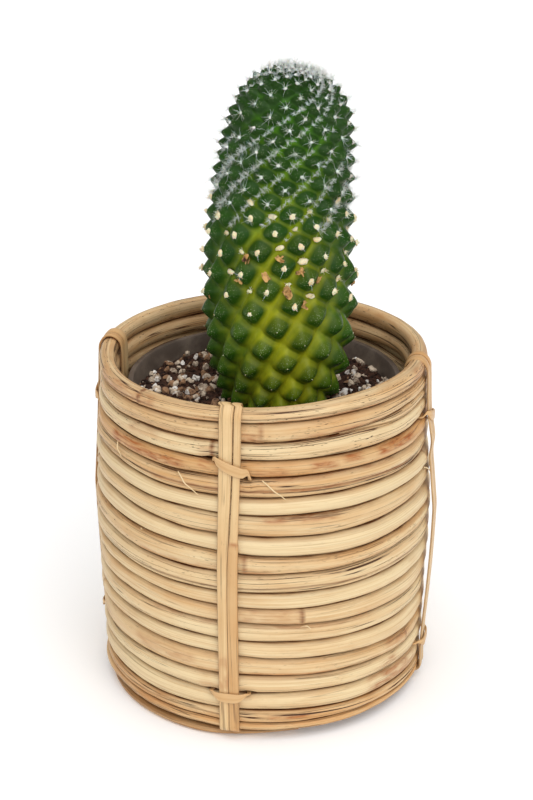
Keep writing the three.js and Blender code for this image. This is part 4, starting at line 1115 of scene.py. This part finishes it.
def hairs_on(name, places, lift, vigour, finish, down=0.0, up=0.0, joints=5, **values):
    """Hairs at places given as [spiral step, degrees], pointing away from the stem and up by a share."""
    root, away = sprouting(places, lift, down)
    away = away + [0, 0, up]
    away /= np.linalg.norm(away, axis=1)[:, None]
    source = piece_from(name + "_roots", root, np.empty((0, 3), int), facing=away, vigour=vigour)
    piece = grown(name, hairs, source, Finish=finish, Joints=joints, **values)
    bpy.data.objects.remove(source)
    seated(piece, finish, "cactus")


bpy.ops.mesh.primitive_ico_sphere_add(subdivisions=2, radius=1.0)
ball = bpy.context.object
ball_points = np.array([v.co for v in ball.data.vertices])
ball_faces = np.array([p.vertices for p in ball.data.polygons])
bpy.data.objects.remove(ball)


def pads_on(name, places, lift, size, finish, down=0.0, shape=(1.0, 0.75, 0.45), seed=1):
    """Small matted cushions at places given as [spiral step, degrees], lying flat against the skin."""
    root, away = sprouting(places, lift, down)
    side = np.cross(away, [0, 0, 1.0])
    side /= np.linalg.norm(side, axis=1)[:, None]
    rise_way = np.cross(side, away)
    random = np.random.default_rng(seed)
    points, faces = [], []
    for k in range(len(root)):
        turn = random.uniform(-0.6, 0.6)
        u = side[k] * math.cos(turn) + rise_way[k] * math.sin(turn)
        w = rise_way[k] * math.cos(turn) - side[k] * math.sin(turn)
        lump = ball_points * (1 + random.uniform(-0.26, 0.26, (len(ball_points), 1))) * shape * size[k]
        points.append(root[k] + lump[:, :1] * u + lump[:, 1:2] * w + lump[:, 2:] * away[k])
        faces.append(ball_faces + len(ball_points) * k)
    seated(piece_from(name, np.vstack(points), np.vstack(faces)), finish, "cactus")


all_steps = np.arange(tubercle_count)
tips = np.stack([all_steps, FIRST_ANGLE - all_steps * GOLDEN_ANGLE], axis=1)
tip_lift = tubercle_height(heights)
tip_down = tubercle_droop(heights)
random = np.random.default_rng(15)


def chosen(low, high, share=1.0):
    return (heights > low) & (heights < high) & (random.uniform(0, 1, tubercle_count) < share)


stars = chosen(80, 140)
hairs_on("spine_stars", tips[stars], tip_lift[stars] - 0.25, np.where(heights[stars] > 120, 0.8, 1.0),
         white_spine, down=tip_down[stars], up=0.15, Hairs=13, Length=0.0046, Radius=0.00007, Spread=1.25,
         Tangle=0.0024, Seed=2)
young = chosen(80, 140)
hairs_on("young_felt", tips[young], tip_lift[young] - 0.35, np.ones(young.sum()), white_wool,
         down=tip_down[young], Hairs=22, Length=0.0010, Radius=0.00020, Spread=0.9, Tangle=0.0006, Seed=5)
felted = chosen(46, 86)
hairs_on("areole_felt", tips[felted], tip_lift[felted] - 0.3, random.uniform(0.8, 1.25, felted.sum()),
         cream_felt, down=tip_down[felted] - 0.3, Hairs=18, Length=0.0016, Radius=0.00016, Spread=1.0,
         Tangle=0.0008, Seed=7)
pads_on("felt_pads", tips[felted], tip_lift[felted] - 0.3, random.uniform(1.05, 1.6, felted.sum()),
        cream_felt, down=tip_down[felted] - 0.3, shape=(0.75, 1.0, 0.45), seed=41)
pads_on("felt_dots", tips[young], tip_lift[young] - 0.1, random.uniform(0.5, 0.72, young.sum()), white_wool,
        down=tip_down[young], shape=(1.0, 0.9, 0.6), seed=42)
few = chosen(48, 84, 0.55)
hairs_on("old_spines", tips[few], tip_lift[few] - 0.2, random.uniform(0.5, 1.1, few.sum()), white_spine,
         down=tip_down[few], Hairs=2, Length=0.0040, Radius=0.0001, Spread=0.9, Tangle=0.0006, Seed=9)
worn = chosen(2, 48)
hairs_on("worn_areoles", tips[worn], tip_lift[worn] * 0.985 - 0.12, random.uniform(0.5, 1.2, worn.sum()),
         cream_felt, down=tip_down[worn], Hairs=5, Length=0.0006, Radius=0.0002, Spread=0.6, Tangle=0.0002,
         Seed=11)

# Axils lie half a cell away along both sets of rows. Wool also runs on between them down the rows of 13.
down_the_row = np.array([0.5, 0.25, -0.05])
axil_steps = all_steps[:, None] + ROW_A / 2 + ROW_B * down_the_row
axil_turns = tips[:, 1:] + turn_a / 2 + turn_b * down_the_row
axils = np.stack([axil_steps.ravel(), axil_turns.ravel()], axis=1)
axil_height = np.repeat(heights, 3)
# Each valley between two rows of 13 has its own share of wool.
band = np.repeat(random.uniform(0.45, 1.25, ROW_B)[5 * all_steps % ROW_B], 3)
upper_axils = smooth(axil_height, 68, 78) * (1 - 0.6 * smooth(axil_height, 98, 112))
wool_amount = upper_axils * band * random.uniform(0.7, 1.1, len(axils))
woolly = wool_amount > 0.28
hairs_on("axil_wool", axils[woolly], 0.9, wool_amount[woolly], white_wool, up=0.3, joints=3, Hairs=33,
         Length=0.0037, Radius=0.00007, Spread=1.1, Tangle=0.0050, Seed=13)
halfway = (axil_height > 44) & (axil_height < 84) & (np.arange(len(axils)) % 3 == 0)
flaky = halfway & (random.uniform(0, 1, len(axils)) < 0.85)
hairs_on("axil_felt", axils[flaky], 1.0, random.uniform(0.6, 1.3, flaky.sum()), cream_felt, Hairs=16,
         Length=0.0022, Radius=0.00014, Spread=1.2, Tangle=0.0014, Seed=17)

pads_on("felt_flakes", axils[flaky], random.uniform(0.8, 1.8, flaky.sum()),
        random.uniform(1.0, 2.1, flaky.sum()), cream_felt, shape=(1.0, 0.62, 0.3), seed=43)
CROWN_TUFTS = 60
tufts = np.arange(CROWN_TUFTS)
crown_spots = np.stack([tubercle_count + 4 - 22 * np.sqrt(tufts / CROWN_TUFTS), tufts * GOLDEN_ANGLE], axis=1)
hairs_on("crown_wool", crown_spots, 0.6, np.ones(CROWN_TUFTS), white_wool, up=0.3, Hairs=26, Length=0.0026,
         Radius=0.00008, Spread=1.0, Tangle=0.0026, Seed=19)
bristly = chosen(46, 110, 0.13)
hairs_on("long_bristles", tips[bristly], tip_lift[bristly] - 0.2, random.uniform(0.6, 1.1, bristly.sum()),
         white_spine, down=tip_down[bristly], Hairs=1, Length=0.0072, Radius=0.0001, Spread=0.5,
         Tangle=0.0012, Seed=23)

# ---- Dried remains -----------------------------------------------------------------------------------------
# Withered flower bits and scraps of old felt have caught in the axils halfway up: crumpled, papery, brown to
# straw.

paper = mineral("withered petals", "#CFA264", "#3A1C0C", 1.4)
# Each scrap: degrees round the stem, distance up its outline, size.
SCRAPS = [
    (-26, 68, 1.6), (-1, 69.5, 1.8), (-12, 63, 1.7), (16, 64.5, 1.6), (32, 59.5, 1.6), (5, 56.5, 2.0),
    (18, 51, 1.5), (46, 55, 1.7), (-34, 60, 1.2), (-72, 48, 1.4), (92, 50, 1.5), (128, 56, 1.4),
    (160, 47, 1.6), (-150, 58, 1.5), (-118, 50, 1.3),
]
FLAKES = 4  # to a scrap
random = np.random.default_rng(31)
points, faces = [], []
for degrees, distance, size in SCRAPS:
    for flake in range(FLAKES):
        at = on_stem(distance + random.uniform(-1, 1), degrees + random.uniform(-2.5, 2.5),
                     2.7 + random.uniform(-0.5, 0.8))
        axes = np.linalg.qr(random.normal(size=(3, 3)))[0]
        crumpled = ball_points * (1 + random.uniform(-0.35, 0.35, (len(ball_points), 1)))
        lump = crumpled * [1.45 * size, size * 0.8, size * 0.25]
        faces.append(ball_faces + len(ball_points) * len(points))
        points.append(lump @ axes * random.uniform(0.5, 0.9) + at)
scraps = piece_from("dried_scraps", np.vstack(points), np.vstack(faces), smooth_shaded=False)
seated(scraps, paper, "cactus")

# ---- Studio ------------------------------------------------------------------------------------------------
# A white floor that runs on out of view, broad soft light from the front right and from above, and white all
# round.

bpy.ops.mesh.primitive_plane_add(size=30, location=(0, 0, -0.0002))
floor = bpy.context.object
floor.name = "studio_floor"
paint, tree = new_material("matte white paint")
where = add(tree, "TexCoord", out="Object")
roller = add(tree, "TexNoise", {"Vector": where, "Scale": 400.0, "Detail": 2.0})
colour = add(tree, "Mix", {0: roller, 6: linear("#F8F8F8"), 7: linear("#FCFCFC")}, data_type="RGBA", out=2)
shader = add(tree, "BsdfPrincipled", {"Base Color": colour, "Roughness": 0.9, "Specular IOR Level": 0.1,
                                      "Emission Color": (1, 1, 1, 1), "Emission Strength": 0.10})
add(tree, "OutputMaterial", {"Surface": shader})
floor.data.materials.append(paint)
floor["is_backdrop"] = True

world = bpy.data.worlds.new("white studio")
bpy.context.scene.world = world
world.use_nodes = True
tree = world.node_tree
tree.nodes.clear()
sky = add(tree, "Background", {"Color": (1, 1, 1, 1), "Strength": 0.36})
add(tree, "OutputWorld", {"Surface": sky})

LIGHTS = [  # name, degrees round from the front towards +X, degrees up, irradiance, spread in degrees
    ("front_light", 16, 36, 1.15, 50),
    ("top_light", 0, 80, 1.65, 70),
]
for name, round_deg, up_deg, strength, spread_deg in LIGHTS:
    lamp = bpy.data.lights.new(name, "SUN")
    lamp.energy, lamp.angle = strength, math.radians(spread_deg)
    light = bpy.data.objects.new(name, lamp)
    light.rotation_euler = (math.radians(90 - up_deg), 0, math.radians(round_deg))
    light.location = (0, 0, 1)
    bpy.context.scene.collection.objects.link(light)

CAMERA_PLACE = (0.001258, -0.82, 0.473395)
CAMERA_DOWN_DEG = 23.259
LENS_MM, SENSOR_MM = 97.87, 36.0
camera = bpy.data.objects.new("camera", bpy.data.cameras.new("camera"))
camera.data.sensor_width = SENSOR_MM
camera.data.lens = LENS_MM
camera.location = CAMERA_PLACE
camera.rotation_euler = (math.radians(90 - CAMERA_DOWN_DEG), 0, 0)
camera.data.clip_end = 100.0
bpy.context.scene.collection.objects.link(camera)
bpy.context.scene.camera = camera
bpy.context.scene.view_settings.view_transform = "Standard"

boxes = {"cad": cad_box, "visual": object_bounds()}
{key: [list(corner) for corner in box] for key, box in boxes.items()}
